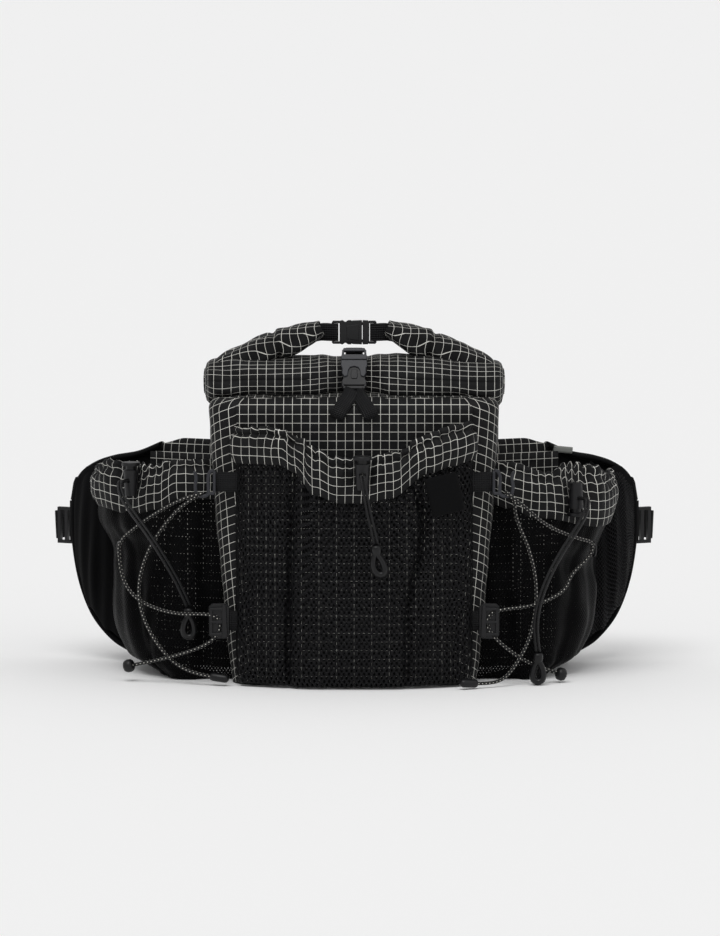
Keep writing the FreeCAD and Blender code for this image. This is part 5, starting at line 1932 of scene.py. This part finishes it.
handle_at = Vector((0, 0, handle_z))
for name, body, node, outlines in (
        ("handle_socket", "pack", "top_buckle_female",
         [(HANDLE_SOCKET, -3.8, 3.4), (HANDLE_RIB, 3.0, 3.9)] + slotted_end(-18.5, -12.2, (-16.9, -19.2))),
        ("handle_plug", "top_male_half", "top_buckle_male",
         [(HANDLE_PLUG, -3.7, 3.6)] + slotted_end(12.6, 18.5, (16.7, 19.2)))):
    piece = moulding(name, outlines, handle_at, (0, 0, 1))
    finish_piece(piece, body, acetal, [node], "acetal", False)
    print("moulded", name)


# %% [markdown]
# The cord blocks hold the bungees: a rim, a broad face and three bars. The left one is a mirror image.

# %% Cord blocks
BLOCK = [(-8.6, -13), (-6, -15.6), (5, -15.6), (8.6, -13), (8.8, 12), (6, 14.6), (-5, 14.6), (-8.6, 12)]
BLOCK_FACE = [(-7.2, -13.5), (-2.6, -14.6), (-2.6, 13.4), (-6, 13.4)]
BLOCK_BARS = [[(-3, z - 1.6), (7.4, z - 1.0), (7.4, z + 1.0), (-3, z + 1.6)] for z in (-11.5, -1.0, 10.0)]
BLOCK_EDGE = [(5.4, -12.5), (7.6, -12.5), (7.8, 11), (5.4, 11)]
for side in (1, -1):
    layers = [(BLOCK, 0.0, 3.0), (BLOCK_FACE, 2.6, 6.0), (BLOCK_EDGE, 2.6, 5.2)]
    layers += [(bar, 2.6, 5.6) for bar in BLOCK_BARS]
    outlines = [(points if side > 0 else flipped(points), low, high) for points, low, high in layers]
    piece = moulding("cord_block_" + WORD[side], outlines, (side * 115.2, -56.5, 56.0), (0, 0, 1), 0.7)
    finish_piece(piece, "pack", acetal, ["ladder_blocks"] if side > 0 else [], "acetal", False)
    print("moulded", piece.name)


# %% [markdown]
# ## Stage
# A wide floor of pale paper, a soft white sky and two broad lamps from above and in front.

# %% Stage and lights
FLOOR_REACH = 9e4         # mm from the middle to each edge


def studio():
    scene = bpy.context.scene
    corners = [(x * FLOOR_REACH, y * FLOOR_REACH, 0) for x, y in ((-1, -1), (1, -1), (1, 1), (-1, 1))]
    floor = mesh_object("floor", corners, [(0, 1, 2, 3)])
    material, _, shader = new_material("studio_paper")
    shader.inputs["Base Color"].default_value = linear("#f8f8f8")
    surface(shader, Roughness=0.9, Specular_IOR_Level=0.1)
    floor.data.materials.append(material)
    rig.stage(floor)
    world = bpy.data.worlds.new("soft_sky")
    scene.world = world
    world.use_nodes = True
    sky = world.node_tree.nodes["Background"].inputs
    sky["Color"].default_value = (1, 1, 1, 1)
    sky["Strength"].default_value = 0.5
    for name, energy, angle, turn in (("key", 1.35, 40, (30, 0, -20)), ("fill", 0.35, 70, (50, 0, 60))):
        lamp = bpy.data.lights.new(name, "SUN")
        lamp.energy = energy
        lamp.angle = math.radians(angle)
        obj = bpy.data.objects.new(name, lamp)
        obj.rotation_euler = [math.radians(a) for a in turn]
        scene.collection.objects.link(obj)
        print("lamp", name)
    scene.view_settings.view_transform = "Standard"


studio()


# %% [markdown]
# A long lens from far away keeps the pack's true proportions, where a short one would swell whatever
# is nearest. It is almost level and looks at the front.

# %% Camera
VIEW_DISTANCE = 5.0       # metres
VIEW_RISE = 6.0           # degrees above level
VIEW_LENS = 226           # mm
VIEW_AT = Vector((0.005, -0.060, 0.187))


def camera():
    data = bpy.data.cameras.new("camera")
    data.lens = VIEW_LENS
    obj = bpy.data.objects.new("camera", data)
    rise = math.radians(VIEW_RISE)
    back = Vector((0, -math.cos(rise), math.sin(rise)))
    obj.location = VIEW_AT + back * VIEW_DISTANCE
    obj.rotation_euler = (-back).to_track_quat("-Z", "Y").to_euler()
    bpy.context.scene.collection.objects.link(obj)
    bpy.context.scene.camera = obj


camera()
print("camera looks at", tuple(round(c, 3) for c in VIEW_AT))


# %% [markdown]
# The last cell measures the finished pack and keeps its size beside the frame's.

# %% Write the sizes and finish
low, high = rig.bounds()
sizes = {"cad": [list(cad_low), list(cad_high)], "visual": [list(low), list(high)]}
with open("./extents.json", "w") as file:
    json.dump(sizes, file)
print("size", [round((b - a) * 1000) for a, b in zip(low, high)])
